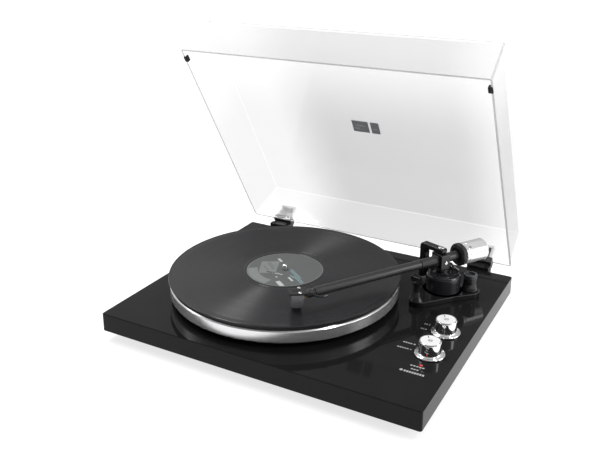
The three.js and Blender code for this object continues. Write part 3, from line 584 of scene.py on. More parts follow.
def paintGrooves(material):
    # Bands of slightly different gloss between the songs, and a smooth ring round the label.
    nodes, links = material.node_tree.nodes, material.node_tree.links
    shader = nodes["Principled BSDF"]
    where = nodes.new("ShaderNodeTexCoord")
    flat = nodes.new("ShaderNodeVectorMath")
    flat.operation = "MULTIPLY"
    flat.inputs[1].default_value = (1, 1, 0)
    links.new(where.outputs["Object"], flat.inputs[0])
    radius = nodes.new("ShaderNodeVectorMath")
    radius.operation = "LENGTH"
    links.new(flat.outputs["Vector"], radius.inputs[0])
    share = nodes.new("ShaderNodeMapRange")
    share.inputs["From Max"].default_value = (recordHigh.x - recordLow.x) / 2000  # radius in metres
    links.new(radius.outputs["Value"], share.inputs["Value"])
    ramp = nodes.new("ShaderNodeValToRGB")
    ramp.color_ramp.interpolation = "LINEAR"
    stops = [(0.0, 0.3), (0.385, 0.22), (0.4, 0.31), (0.46, 0.29), (0.475, 0.32), (0.57, 0.31), (0.585, 0.28),
             (0.6, 0.32), (0.69, 0.31), (0.7, 0.33), (0.81, 0.31), (0.82, 0.33), (0.935, 0.31), (0.945, 0.24),
             (0.985, 0.22), (1.0, 0.2)]
    while len(ramp.color_ramp.elements) < len(stops):
        ramp.color_ramp.elements.new(0.5)
    for element, (at, value) in zip(ramp.color_ramp.elements, stops):
        element.position = at
        element.color = (value, value, value, 1)
    links.new(share.outputs["Result"], ramp.inputs["Fac"])
    rough = nodes.new("ShaderNodeRGBToBW")
    links.new(ramp.outputs["Color"], rough.inputs["Color"])
    links.new(rough.outputs["Val"], shader.inputs["Roughness"])


paintGrooves(vinylBlack)

labelTop = labelHigh.z
labelRadius = (labelHigh.x - labelLow.x) / 2
labelProfile = [(boreRadius, labelLow.z), (labelRadius, labelLow.z), (labelRadius, labelTop - 0.05),
                (labelRadius - 0.05, labelTop), (36.6, labelTop), (36.2, labelTop - 0.08),
                (35.2, labelTop - 0.08), (34.8, labelTop), (boreRadius, labelTop)]
piece("label_disc", lathe(labelProfile, 120, True), "turntable", labelPaper,
      spinAt, instead=["record_label"])
inkHeight = 0.03


def ink(outline):
    return prism(outline, labelTop, labelTop + inkHeight, 0, 1)


def arcBand(inner, outer, start, end, steps=40):
    points = []
    for k in range(steps + 1):
        a = math.radians(start + (end - start) * k / steps)
        points.append((outer * math.cos(a), outer * math.sin(a)))
    for k in range(steps + 1):
        a = math.radians(end + (start - end) * k / steps)
        points.append((inner * math.cos(a), inner * math.sin(a)))
    return points


def arcPoints(radius, angles, x=0, y=0):
    return [(radius * math.cos(math.radians(a)) + x, radius * math.sin(math.radians(a)) + y) for a in angles]


def slanted(x, y, wide, tall, turn):
    # Small bar on the label, turned in its plane.
    c, s = math.cos(math.radians(turn)), math.sin(math.radians(turn))
    corners = [(-wide / 2, -tall / 2), (wide / 2, -tall / 2), (wide / 2, tall / 2), (-wide / 2, tall / 2)]
    return [(x + a * c - b * s, y + a * s + b * c) for a, b in corners]


artTurn = -36.0
pale = [ink([(-39, 6), (-24.5, -26), (-5, -15), (-18.5, 18.5)])]
pale += [ink(arcBand(49.0, 49.9, 0, 359.5, 110))]
crescent = arcPoints(48, range(204, 269, 4)) + arcPoints(39.5, range(268, 203, -4), 2, 4)
pale += [ink(crescent)]
teal = [ink(slanted(x, y, w, 1.7, artTurn)) for x, y, w in
        ((19, -4.5, 30), (24.5, -12, 40), (30, -19.5, 24), (19, -14.5, 10))]
white = [ink(slanted(15.5, -39.5, 15, 6, artTurn)), ink(slanted(-19.5, 21.5, 11, 3.4, artTurn)),
         ink(slanted(2, -25, 3.4, 2.2, artTurn)), ink(slanted(21, -22, 12, 3, artTurn))]
white += [ink(slanted(-15.5 + 3.9 * k, -16.5 + 0.2 * k, 1.8, 3.6, artTurn)) for k in range(6)]
dim = [ink(slanted(x, y, w, 1.2, artTurn)) for x, y, w in ((-25, 6, 22), (-21, -1, 22), (-24, -8, 16))]
dim = [moved(part, Matrix.Translation((0, 0, inkHeight / 1000))) for part in dim]
piece("label_print_pale", merged(*pale), "turntable", printLight, spinAt)
piece("label_print_teal", merged(*teal), "turntable", printTeal, spinAt)
piece("label_print_white", merged(*white), "turntable", printWhite, spinAt)
piece("label_print_dim", merged(*dim), "turntable", printDim, spinAt)

spindleRadius = (spindleHigh.x - spindleLow.x) / 2
spindleTop = spindleHigh.z
piece("spindle_pin", lathe(softened([(0, spindleLow.z), (spindleRadius, spindleLow.z),
                                     (spindleRadius, spindleTop - 3), (spindleRadius * 0.8, spindleTop - 1),
                                     (0, spindleTop)], 1.2, 4), 48),
      "turntable", chromeBright, spinAt, instead=["spindle"])
print("platter and record built")


# Knobs, lamp and deck print
knobShape = {"skirt": 17.5, "skirtTop": 2.6, "body": 13.2, "topRadius": 12.4, "dish": 0.35, "notchTurn": 0.6}


def buildKnob(node, body):
    low, high = span(node)
    x, y = middleOf(low, high)
    s = knobShape
    top = high.z
    side = [(0, low.z), (3, low.z), (3, 0.5), (s["skirt"], 0.5), (s["skirt"], 1.7),
            (s["skirt"] - 0.9, s["skirtTop"]), (s["body"] + 1.4, 2.9), (s["body"], 3.9),
            (s["topRadius"] + 0.2, top - 1.4), (s["topRadius"] - 0.5, top - 0.2),
            (s["topRadius"] - 1.2, top - 0.35), (0, top - 0.35)]
    piece(node + "_body", lathe(softened(side, 0.5, 3), 96), body, chromeBright, (x, y, 0),
          instead=[node], sharp=28)
    # The top face takes the painted-highlight finish.
    face = [(0, top - s["dish"] - 0.2), (s["topRadius"] - 1.3, top - s["dish"] - 0.2),
            (s["topRadius"] - 1.5, top - s["dish"] + 0.12), (3, top - s["dish"]), (0, top - s["dish"])]
    piece(node + "_face", lathe(face, 96), body, chromeTopPaintedSheen, (x, y, 0))
    notch = block(-0.45, 0.45, s["topRadius"] - 6.5, s["topRadius"] - 2.2, top - 0.4, top - 0.12, 0.3, 0.1)
    piece(node + "_notch", notch, body, satinBlack, (x, y, 0),
          Matrix.Rotation(s["notchTurn"], 3, "Z"))


buildKnob("speed_knob", "speed_selector")
buildKnob("function_knob", "function_selector")

lampLow, lampHigh = span("power_lamp")
lampX, lampY = middleOf(lampLow, lampHigh)
lensSide = softened([(0, lampLow.z), (3, lampLow.z), (3, -4.3), (2, -4.3), (2, 0.35), (1.4, 0.95),
                     (0, 1.1)], 0.4, 3)
piece("power_lens", lathe(lensSide, 40), "base", lampRed, (lampX, lampY, 0),
      instead=["power_lamp"])


def deckText(name, words, x, y, size, material):
    curve = bpy.data.curves.new(name, "FONT")
    curve.body = words
    curve.size = size / 1000
    curve.extrude = 0.00002
    curve.align_x = "CENTER"
    curve.align_y = "CENTER"
    curve.space_character = 1.1
    words = bpy.data.objects.new(name, curve)
    bpy.context.scene.collection.objects.link(words)
    bpy.context.view_layer.update()
    graph = bpy.context.evaluated_depsgraph_get()
    mesh = bpy.data.meshes.new_from_object(words.evaluated_get(graph))
    mesh.name = name
    bpy.data.objects.remove(words)
    mesh.materials.clear()
    mesh.materials.append(material)
    obj = bpy.data.objects.new(name, mesh)
    bpy.context.scene.collection.objects.link(obj)
    obj.location = deckPoint(x, y, 0.03)
    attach(obj, "base")


deckText("mark_speed_low", "33.3", 153.5, -6, 4.2, deckPrint)
deckText("mark_speed_high", "45.0", 153.2, -18, 4.2, deckPrint)
printLow, printHigh = 0.01, 0.05


def strokes(x0, x1, y, tall, count):
    # Row of short upright strokes standing in for small lettering.
    step = (x1 - x0) / count
    return [block(x0 + step * k, x0 + step * (k + 0.72), y - tall / 2, y + tall / 2, printLow, printHigh,
                  0.3, 0)
            for k in range(count)]


stopMark = block(155.6, 157.8, -58.1, -55.9, printLow, printHigh, 0.2, 0)
playMark = prism([(156, -70.8), (158.2, -69.5), (156, -68.2)], printLow, printHigh, 0, 1)
dot = lathe([(0, printLow), (1.9, printLow), (1.9, printHigh), (0, printHigh)], 24)
marks = strokes(143, 154.5, -57, 2.2, 4) + [stopMark] + strokes(140.5, 154.8, -69.5, 2.2, 5) + [playMark]
for x0, x1, y, tall, count in ((168, 185, -99.5, 2.2, 5), (171, 180.5, -106, 2.0, 3),
                               (165.5, 189.4, -113, 3.4, 8)):
    marks += strokes(x0, x1, y, tall, count)
marks += [moved(dot, Matrix.Translation((0.1624, -0.1128, 0)))]
piece("mark_strokes", merged(*marks), "base", deckPrint)
print("controls built")

# Tonearm base
armHub = Vector(joints["arm_swing"]["pos_m"])
pivot = (armHub - deck) * 1000
tiltAxis = Vector(joints["arm_tilt"]["axis"])
forward = Vector((-tiltAxis.y, tiltAxis.x, 0)).normalized() * -1
if forward.y > 0:
    forward = -forward
side = Vector((-forward.y, forward.x, 0))
armBasis = Matrix((forward, side, Vector((0, 0, 1)))).transposed()
armLine = along(forward)
armZ = pivot.z
turretLow, turretHigh = span("arm_turret")
turretX, turretY = middleOf(turretLow, turretHigh)
postLow, postHigh = span("anti_skate_post")
postX, postY = middleOf(postLow, postHigh)
baseShape = {"bottom": 0.3, "top": 7.0, "edge": 1.1, "round": 26.0, "restLobe": 12, "postLobe": 13,
             "legLobe": 9, "restLeft": 13, "restFront": 50, "legReach": 27, "legTurn": -20.0}


def lobe(x, y, r):
    outline = aroundCircles(turretX, turretY, baseShape["round"], x, y, r)
    return prism(outline, baseShape["bottom"], baseShape["top"], baseShape["edge"], 4, bottomEdge=0.2)


restX, restY = pivot.x - baseShape["restLeft"], pivot.y - baseShape["restFront"]
legX = pivot.x - baseShape["legReach"]
legOut = Matrix.Rotation(math.radians(baseShape["legTurn"]), 3, "Z") @ Vector((-baseShape["legReach"], 0, 0))
stem = lathe([(0, -12), (19, -12), (19, -4.3), (14, -4.3), (14, 1), (0, 1)], 64)
basePlate = merged(lobe(restX + 1, restY + 6, baseShape["restLobe"]),
                   lobe(postX, postY, baseShape["postLobe"]),
                   lobe(pivot.x + legOut.x, pivot.y + legOut.y, baseShape["legLobe"]),
                   moved(stem, Matrix.Translation((turretX / 1000, turretY / 1000, 0))))
piece("arm_base_plate", basePlate, "base", metalBlack, instead=["arm_base"], sharp=40)

turretShape = {"radius": 22, "bevel": 1.4, "grooveOut": 16.5, "grooveIn": 14.8, "grooveDeep": 0.5}
t, low, high = turretShape, turretLow.z, turretHigh.z
turretProfile = [(0, low), (t["radius"] - 0.6, low), (t["radius"], low + 0.6), (t["radius"], high - 2.6),
                 (t["radius"] - t["bevel"], high), (t["grooveOut"], high),
                 (t["grooveOut"] - 0.4, high - t["grooveDeep"]),
                 (t["grooveIn"] + 0.4, high - t["grooveDeep"]), (t["grooveIn"], high), (0, high)]
piece("turret_drum", lathe(softened(turretProfile, 0.7, 4), 120), "base", turretBlack,
      (turretX, turretY, 0), instead=["arm_turret"], sharp=40)

bridgeLow, bridgeHigh = span("arm_bridge")
bridgeShape = {"left": legX - 4.5, "right": pivot.x + 6, "bar": 5.9, "top": bridgeHigh.z, "foot": bridgeLow.z,
               "leg": 9.0, "depth": 10.0, "turn": baseShape["legTurn"]}


def buildBridge(s):
    inner = s["left"] + s["leg"]
    outline = [
        (s["left"] - 1.5, s["foot"]), (inner + 1.5, s["foot"]), (inner, s["foot"] + 8),
        (inner, s["top"] - s["bar"] - 2.5), (inner + 2.5, s["top"] - s["bar"]),
        (s["right"], s["top"] - s["bar"]), (s["right"], s["top"]), (s["left"] + 2.4, s["top"]),
        (s["left"], s["top"] - 3.4), (s["left"], s["foot"] + 8),
    ]
    bm = prism(softened(outline, 2.2, 5, True), -s["depth"] / 2, s["depth"] / 2, 1.2, 4)
    turned = Matrix(((1, 0, 0), (0, 0, -1), (0, 1, 0)))
    swung = Matrix.Rotation(math.radians(s["turn"]), 3, "Z")
    spot = Vector((pivot.x, pivot.y, 0)) - swung @ Vector((pivot.x, 0, 0))  # turned about the pivot
    piece("bridge_frame", bm, "base", metalBlack, tuple(spot), swung @ turned,
          ["arm_bridge"], 40)


buildBridge(bridgeShape)

screwLow, screwHigh = span("bridge_screw")


def domedScrew(radius, height, shank=None):
    # Domed head standing on z = 0, with a shank of (radius, length) under it.
    parts = [lathe(softened([(0, 0), (radius, 0), (radius, height * 0.45), (radius * 0.72, height * 0.9),
                             (0, height)], 0.4, 3), 40)]
    if shank:
        parts.append(lathe([(0, -shank[1]), (shank[0], -shank[1]), (shank[0], 0.1), (0, 0.1)], 24))
    return merged(*parts)


piece("bridge_cap_screw", domedScrew(4, screwHigh.z - bridgeHigh.z - 0.3,
                                     shank=(2, bridgeHigh.z - screwLow.z)),
      "base", chromeBright, (pivot.x, pivot.y, bridgeHigh.z + 0.3), instead=["bridge_screw"])
# Painted shade: the screw's slot is a thin black bar laid on the chrome head, standing in for the shade in
# the cut.
slotShadeBar = block(-3.1, 3.1, -0.45, 0.45, 0, 0.2, 0.2, 0.05)
piece("bridge_screw_slot_shade", slotShadeBar, "base", satinBlack,
      (pivot.x, pivot.y, screwHigh.z - 0.22), Matrix.Rotation(0.5, 3, "Z"))

postTop = postHigh.z
postProfile = [(0, postLow.z), (10.4, postLow.z), (10.4, postLow.z + 1.4), (9.4, 12), (8.5, 17),
               (8.5, 23.6), (8.1, 24), (2, 24), (2, postTop - 0.4), (1.6, postTop), (0, postTop)]
piece("side_post", lathe(softened(postProfile, 1.0, 4), 72), "base", metalBlack,
      (postX, postY, 0), instead=["anti_skate_post"], sharp=40)
dialLow, dialHigh = span("anti_skate_dial")
dialMarks = {"count": 6, "step": 40, "first": 200, "radius": 7.1}
ringProfile = [(2.3, dialLow.z), (8.6, dialLow.z), (8.7, dialHigh.z - 1.0), (8.0, dialHigh.z),
               (6.2, dialHigh.z), (5.5, dialHigh.z - 2.3), (2.3, dialHigh.z - 2.3)]
piece("side_dial", lathe(softened(ringProfile, 0.35, 3, True), 72, True), "anti_skate", dialGrey,
      (postX, postY, 0), instead=["anti_skate_dial"], sharp=35)
ticks = []
for k in range(dialMarks["count"]):
    a = math.radians(dialMarks["step"] * k + dialMarks["first"])
    tick = block(-0.2, 0.2, -0.6, 0.6, 0, 0.06, 0.1, 0)
    out = Vector((math.cos(a), math.sin(a), 0)) * dialMarks["radius"] / 1000
    ticks.append(moved(tick, Matrix.Translation(out) @ Matrix.Rotation(a + math.pi / 2, 4, "Z")))
piece("side_dial_ticks", merged(*ticks), "anti_skate", deckPrint, (postX, postY, dialHigh.z))

restLow = span("arm_rest")[0].z
restTurn = math.atan2(-baseShape["restFront"], -baseShape["restLeft"])
saddleTop = armZ - 6.35
restProfile = [(0, restLow), (9, restLow), (9, restLow + 0.8), (6, 12), (4.4, 20), (4.6, 27),
               (6.4, saddleTop - 6), (0, saddleTop - 6)]
saddle = prism(softened([(-7, saddleTop - 7), (10.5, saddleTop - 7), (10.5, armZ - 3), (8.3, armZ - 3),
                         (7.2, saddleTop), (-7, saddleTop)], 1.1, 4, True), -4, 4, 0.6, 3)
saddle = moved(saddle, Matrix.Rotation(restTurn, 4, "Z") @ along((1, 0, 0), (0, 1, 0)).to_4x4())
restBody = merged(lathe(softened(restProfile, 2.0, 5), 56), saddle)
piece("rest_post", restBody, "base", metalBlack, (restX, restY, 0), instead=["arm_rest"],
      sharp=40)

leverSpot = (Vector(joints["cue_lever_turn"]["pos_m"]) - deck) * 1000
leverPath = curved([Vector((1.2, -1, 0.2)), Vector((5.5, -1.2, 0.4)), Vector((9.5, -2, -1.0)),
                    Vector((13.6, -3.4, -2.5))])
leverRod = sweep(leverPath, 2.1, 2.1, 18)
eye = lathe(softened([(0, -1.8), (2.6, -1.8), (2.8, -1.4), (2.8, 1.4), (2.6, 1.8), (0, 1.8)], 0.3, 2), 36)
eye = moved(eye, Matrix.Translation((0, -0.001, 0)) @ along((0, 1, 0)).to_4x4())
piece("cue_rod", merged(leverRod, eye), "cue", chromeBright, tuple(leverSpot),
      instead=["cue_lever"])
print("arm base built")

# Tonearm
armAt = (pivot.x, pivot.y, armZ)
armShape = {"collarStart": 10.0, "collarEnd": 34.0, "collarRadius": 6.3, "ringStep": 1.6, "ringDepth": 0.28,
            "tubeRadius": 5.75, "stylusReach": 214.1417, "stylusLean": 2.0, "bendBack": 17, "neck": 7}
r = armShape["collarRadius"]
grooved = r - armShape["ringDepth"]
collar = [(0, 8), (r - 0.6, 8)]
at = armShape["collarStart"]
while at < armShape["collarEnd"] - 1:
    collar += [(grooved, at), (r, at + 0.4), (r, at + 1.1), (grooved, at + 1.5)]
    at += armShape["ringStep"]
collar += [(armShape["tubeRadius"], armShape["collarEnd"]), (0, armShape["collarEnd"])]
frontCollar = lathe(collar, 64)
stub = lathe(softened([(0, -66), (3.4, -66), (4, -65.4), (4, -26), (5.6, -26), (6.2, -25.4), (6.2, -22.5),
                       (5.7, -22.1), (5.7, -20.9), (6.2, -20.5), (6.2, -8), (5.6, -7), (0, -7)], 0.25, 2), 64)
coreBlock = prism(softened([(-6.8, -5.6), (6.8, -5.6), (6.8, 5.6), (-6.8, 5.6)], 1.6, 4, True), -7.5, 10.3,
                  0.7, 3)
piece("arm_core_body", merged(frontCollar, stub, coreBlock), "arm", armBlack, armAt, armLine,
      ["arm_core"], 35)

leanAngle = math.radians(armShape["stylusLean"])
stylusForward = armShape["stylusReach"] * math.cos(leanAngle)
stylusSide = -armShape["stylusReach"] * math.sin(leanAngle)
bend = stylusForward - armShape["bendBack"]
tubeEnd = bend - armShape["neck"]
tubeOut, tubeStart = armShape["tubeRadius"], armShape["collarEnd"] + 0.3
tubeIn = tubeOut - 0.35  # radius at its bevelled ends
tubeProfile = [(0, tubeStart), (tubeIn, tubeStart), (tubeOut, tubeStart + 0.4), (tubeOut, tubeEnd - 0.4),
               (tubeIn, tubeEnd), (0, tubeEnd)]
piece("arm_tube_long", lathe(tubeProfile, 64), "arm", armBlack, armAt, armLine, ["arm_tube"], 40)

yokeTop = armZ + 8.9
yokeLow = 34.3
frameOut = [(-10.3, yokeLow - armZ), (10.3, yokeLow - armZ), (10.3, yokeTop - armZ), (-10.3, yokeTop - armZ)]
frameIn = [(-7.5, yokeLow + 3.7 - armZ), (7.5, yokeLow + 3.7 - armZ), (7.5, yokeTop - 1.7 - armZ),
           (-7.5, yokeTop - 1.7 - armZ)]
yokeRing = ringPrism(softened(frameOut, 2.2, 5, True), softened(frameIn, 1.2, 5, True), -7, 7, 0.7, 3)
yokeRing = tipped(yokeRing)
yokeStem = lathe(softened([(0, 22 - armZ), (3, 22 - armZ), (3, 30.3 - armZ), (5.4, 30.3 - armZ),
                           (5.4, 35 - armZ), (0, 35 - armZ)], 0.4, 3), 48)
piece("yoke_frame", merged(yokeRing, yokeStem), "gimbal", metalBlack, armAt, armBasis,
      ["gimbal_yoke"], 35)
for name, sign in (("near", 1), ("far", -1)):
    screwSpot = pivot + side * sign * 10.55 + Vector((0, 0, -2))
    bm = merged(domedScrew(2.8, 1.5), lathe([(0, -5.8), (1.2, -5.8), (1.2, 0.1), (0, 0.1)], 24))
    piece("side_screw_" + name, bm, "gimbal", chromeBright, tuple(screwSpot), along(side * sign),
          ["pivot_screw_" + name])
    # Painted shade: a thin black bar on each head stands in for the shade in the screw's slot.
    piece("side_screw_slot_shade_" + name, block(-2.1, 2.1, -0.35, 0.35, 0, 0.15, 0.2, 0.04), "gimbal", satinBlack,
          tuple(screwSpot + side * sign * 1.4), along(side * sign))

weightShape = {"dialRadius": 15.0, "radius": 14.5, "dialFront": -26.3, "dialBack": -33.0, "front": -33.3,
               "back": -69.3, "bore": 4.3, "teeth": 60, "scaleMarks": 20,
               "grubBack": 41, "grubAngle": 52}


def buildDial(s):
    # Ribbed black ring with a flat face for the scale.
    r = s["dialRadius"]
    bm = bmesh.new()
    rows = [(s["bore"], s["dialBack"], 0), (r - 1.2, s["dialBack"], 0), (r - 0.1, s["dialBack"] + 0.5, 1),
            (r, s["dialBack"] + 1.0, 1), (r, s["dialFront"] - 2.2, 1), (r - 0.2, s["dialFront"] - 1.6, 0),
            (r - 1.4, s["dialFront"] - 0.1, 0), (r - 1.9, s["dialFront"], 0), (9.2, s["dialFront"], 0),
            (8.4, s["dialFront"] - 1.0, 0), (s["bore"], s["dialFront"] - 1.0, 0)]
    count = s["teeth"] * 4
    rings = []
    for radius, z, ribbed in rows:
        ring = []
        for k in range(count):
            a = 2 * math.pi * k / count
            rr = radius - (0.28 if ribbed and k % 4 in (0, 1) else 0)
            ring.append(bm.verts.new((rr * math.cos(a) / 1000, rr * math.sin(a) / 1000, z / 1000)))
        rings.append(ring)
    for lower, upper in list(zip(rings, rings[1:])) + [(rings[-1], rings[0])]:
        for k in range(count):
            j = (k + 1) % count
            bm.faces.new((lower[k], lower[j], upper[j], upper[k]))
    return bm


piece("force_ring", buildDial(weightShape), "dial", satinBlack, armAt, armLine,
      ["force_dial"], 30)
scale = []
for k in range(weightShape["scaleMarks"]):
    a = 2 * math.pi * k / weightShape["scaleMarks"]
    tick = block(-0.14, 0.14, -1.3 if k % 5 == 0 else -0.7, 0.7, 0, 0.06, 0.05, 0)
    turn = Matrix.Translation((0.0115 * math.cos(a), 0.0115 * math.sin(a), weightShape["dialFront"] / 1000)) \
        @ Matrix.Rotation(a - math.pi / 2, 4, "Z")
    scale.append(moved(tick, turn))
piece("force_ring_scale", merged(*scale), "dial", deckPrint, armAt, armLine)

r = weightShape["radius"]
weightProfile = [(weightShape["bore"], weightShape["back"]), (8.5, weightShape["back"]),
                 (9.2, weightShape["back"] + 0.7), (10.4, weightShape["back"] + 0.7),
                 (11.0, weightShape["back"]), (r - 1.1, weightShape["back"]),
                 (r, weightShape["back"] + 1.1), (r, weightShape["front"] - 5.4),
                 (r - 0.35, weightShape["front"] - 5.0), (r - 0.35, weightShape["front"] - 4.2),
                 (r, weightShape["front"] - 3.8), (r, weightShape["front"] - 0.9),
                 (r - 0.9, weightShape["front"]), (weightShape["bore"], weightShape["front"])]
piece("weight_body", lathe(softened(weightProfile, 0.25, 2, True), 96, True), "weight", weightSilver,
      armAt, armLine, ["counterweight"], 30)
# Small clamping screw in the weight's side
grub = lathe(softened([(0, 0), (1.5, 0), (1.5, 0.25), (1.0, 0.3), (0.8, 0.1), (0, 0.1)], 0.1, 1), 24)
grubAngle = math.radians(weightShape["grubAngle"])
grubOut = side * math.cos(grubAngle) + Vector((0, 0, math.sin(grubAngle)))
grubSpot = pivot - forward * weightShape["grubBack"] + grubOut * (r - 0.12)
piece("weight_grub", grub, "weight", satinBlack, tuple(grubSpot),
      along(grubOut, tuple(forward)))

# Headshell and cartridge, drawn about the stylus tip's place with x along the shell
headTurn = math.atan2(stylusSide, stylusForward - bend)
headBasis = armBasis @ Matrix.Rotation(headTurn, 3, "Z")
stylusSpot = pivot + forward * stylusForward + side * stylusSide
headAt = (stylusSpot.x, stylusSpot.y, 0)
backReach = -math.hypot(stylusSide, stylusForward - bend)
shellTop = armZ + 4
shellBottom = shellTop - 2.5
shellOutline = [(backReach - 1, -5.4), (backReach + 5, -8.2), (3.6, -8.3), (5, -6.6), (5, 6.6), (3.6, 8.3),
                (backReach + 5, 8.2), (backReach - 1, 5.4)]
shellPlate = prism(softened(shellOutline, 1.6, 4, True), shellBottom, shellTop, 0.6, 3)
shellRear = prism(softened([(backReach - 3, -4.6), (backReach + 4.2, -5), (backReach + 4.2, 5),
                            (backReach - 3, 4.6)],
                           1.4, 4, True), armZ - 3.6, shellTop - 0.5, 0.8, 3)
ribs = [block(-8 + 3.2 * k, -7 + 3.2 * k, -3.4, 3.4, shellTop - 0.2, shellTop, 0.3, 0.1) for k in range(3)]
ball = lathe([(0, -5.2)] + [(5.2 * math.cos(math.radians(a)), 5.2 * math.sin(math.radians(a)))
                            for a in range(-80, 81, 10)] + [(0, 5.2)], 36)
ball = moved(ball, Matrix.Translation((backReach / 1000, 0, armZ / 1000)))
headPlate = merged(shellPlate, shellRear, ball, *ribs)
piece("head_shell_plate", headPlate, "arm", satinBlack, headAt, headBasis, ["headshell"], 40)
neck = lathe(softened([(0, tubeEnd + 0.3), (4.9, tubeEnd + 0.3), (5.2, tubeEnd + 0.7), (5.2, tubeEnd + 2.2),
                       (4.8, tubeEnd + 2.6), (4.8, tubeEnd + 3.4), (5.2, tubeEnd + 3.8), (5.2, bend),
                       (0, bend)], 0.2, 2), 48)
piece("head_shell_neck", neck, "arm", armBlack, armAt, armLine, sharp=35)

cartLow = span("cartridge")[0].z
cartTop = shellBottom - 0.3
cartRear = backReach + 6
cartSide = [(cartRear + 2.8, cartLow), (2.4, cartLow), (2.7, cartLow + 4), (2.7, cartTop),
            (cartRear, cartTop), (cartRear, cartTop - 6)]
cartBody = prism(softened(cartSide, 0.7, 3, True), -7, 7, 0.6, 3)
cartBody = moved(cartBody, Matrix(((1, 0, 0), (0, 0, -1), (0, 1, 0))).to_4x4())
piece("cartridge_body", cartBody, "arm", cartridgeGrey, headAt, headBasis, ["cartridge"],
      35)
cartFace = tipped(block(-5.0, 5.0, cartLow + 5.5, cartTop - 2.5, 0, 0.12, 0.7, 0.05))
piece("cartridge_front", moved(cartFace, Matrix.Translation((0.0027, 0, 0))), "arm", satinBlack,
      headAt, headBasis)
pins = []
for y in (-4.5, -1.5, 1.5, 4.5):
    pin = lathe([(0, 0), (0.55, 0), (0.55, 3.2), (0.35, 3.4), (0, 3.4)], 16)
    pins.append(moved(pin, Matrix.Translation((cartRear / 1000, y / 1000, (cartTop - 3.5) / 1000))
                      @ along((-1, 0, 0)).to_4x4()))
piece("cartridge_pins", merged(*pins), "arm", brassTurned, headAt, headBasis)
tipZ = recordHigh.z + 0.3  # the stylus hangs just clear of the record
holder = merged(
    prism(softened([(cartRear + 3.8, -3.2), (-2.2, -3.2), (-0.6, -2.2), (-0.6, 2.2), (-2.2, 3.2),
                    (cartRear + 3.8, 3.2)],
                   0.6, 3, True), cartLow - 1.7, cartLow - 0.3, 0.25, 2),
    sweep(curved([Vector((-3, 0, cartLow - 1.1)), Vector((-1, 0, tipZ + 1.3)),
                  Vector((0.3, 0, tipZ + 1.0))], 4), 0.7,
          0.7, 10),
    lathe([(0, tipZ), (0.12, tipZ + 0.1), (0.4, tipZ + 0.9), (0, tipZ + 1.1)], 16),
)
piece("stylus_holder_body", holder, "arm", stylusRed, headAt, headBasis,
      ["stylus_holder"], 35)
for name, y in (("near", 6.35), ("far", -6.35)):
    bm = merged(domedScrew(2.1, 1.5), lathe([(0, -2.4), (1.1, -2.4), (1.1, 0.1), (0, 0.1)], 20))
    spot = stylusSpot + (headBasis @ Vector((-7.5, y * -1, 0)))
    piece("shell_screw_" + name, bm, "arm", chromeBright, (spot.x, spot.y, shellTop), headBasis)

lug = bend - 2
liftPath = curved([Vector((lug, 5.4, 0)), Vector((lug - 1.5, 9, 0)), Vector((lug - 6, 14.5, 0.2)),
                   Vector((lug - 12.6, 17.6, 1.2))], 8)
piece("finger_hook", sweep(liftPath, 1.3, 3.0, 20, power=0.7), "arm", armBlack, armAt, armBasis,
      ["finger_lift"])
glint = sweep(curved([Vector((lug - 9, 16.5, 0.9)), Vector((lug - 11, 17.3, 1.3)),
                      Vector((lug - 12.9, 17.75, 1.7))], 5),
              1.0, 1.3, 12)
piece("finger_tip", glint, "arm", chromeBright, armAt, armBasis)
print("tonearm built")

# Dust cover and hinges
coverShape = {
    "rimHalf": plinthWidth / 2 - 3.5, "front": 5 - plinthDepth / 2, "rear": plinthDepth / 2 - 5, "base": 1.5,
    "height": 67.0, "wall": 2.5, "sideTaper": 4.0, "frontTaper": 3.4, "rearFlare": 8.0, "corner": 3.6,
    "round": 2.0, "innerRound": 0.8, "steps": 5, "cornerSteps": 8,
    "open": -joints["cover_hinge"]["range_deg"][0],
}
# Painted reflection on the cover sheet, made through its opacity: across what, from where to where in metres,
# and how strong it is at both ends.
coverReflectionSweeps = (("X", -0.16, -0.05, 0.62, 1.15), ("Y", -0.355, -0.17, 0.45, 1.2), ("X", 0.12, 0.205, 1.0, 0.55))
hingeSpot = (Vector(joints["cover_hinge"]["pos_m"]) - deck) * 1000
swing = Matrix.Rotation(math.radians(-coverShape["open"]), 3, "X")
coverAt = (0, hingeSpot.y, hingeSpot.z)


def shut(x, y, z):
    # A point of the shut cover, counted from the hinge line.
    return (x, y - hingeSpot.y, z - hingeSpot.z)


def coverLoop(share, inset, z, corner):
    s = coverShape
    x = s["rimHalf"] - s["sideTaper"] * share - inset
    y0 = s["front"] + s["frontTaper"] * share + inset
    y1 = s["rear"] + s["rearFlare"] * share - inset
    return [shut(a, b, z) for a, b in roundedBox(-x, x, y0, y1, corner, s["cornerSteps"])]


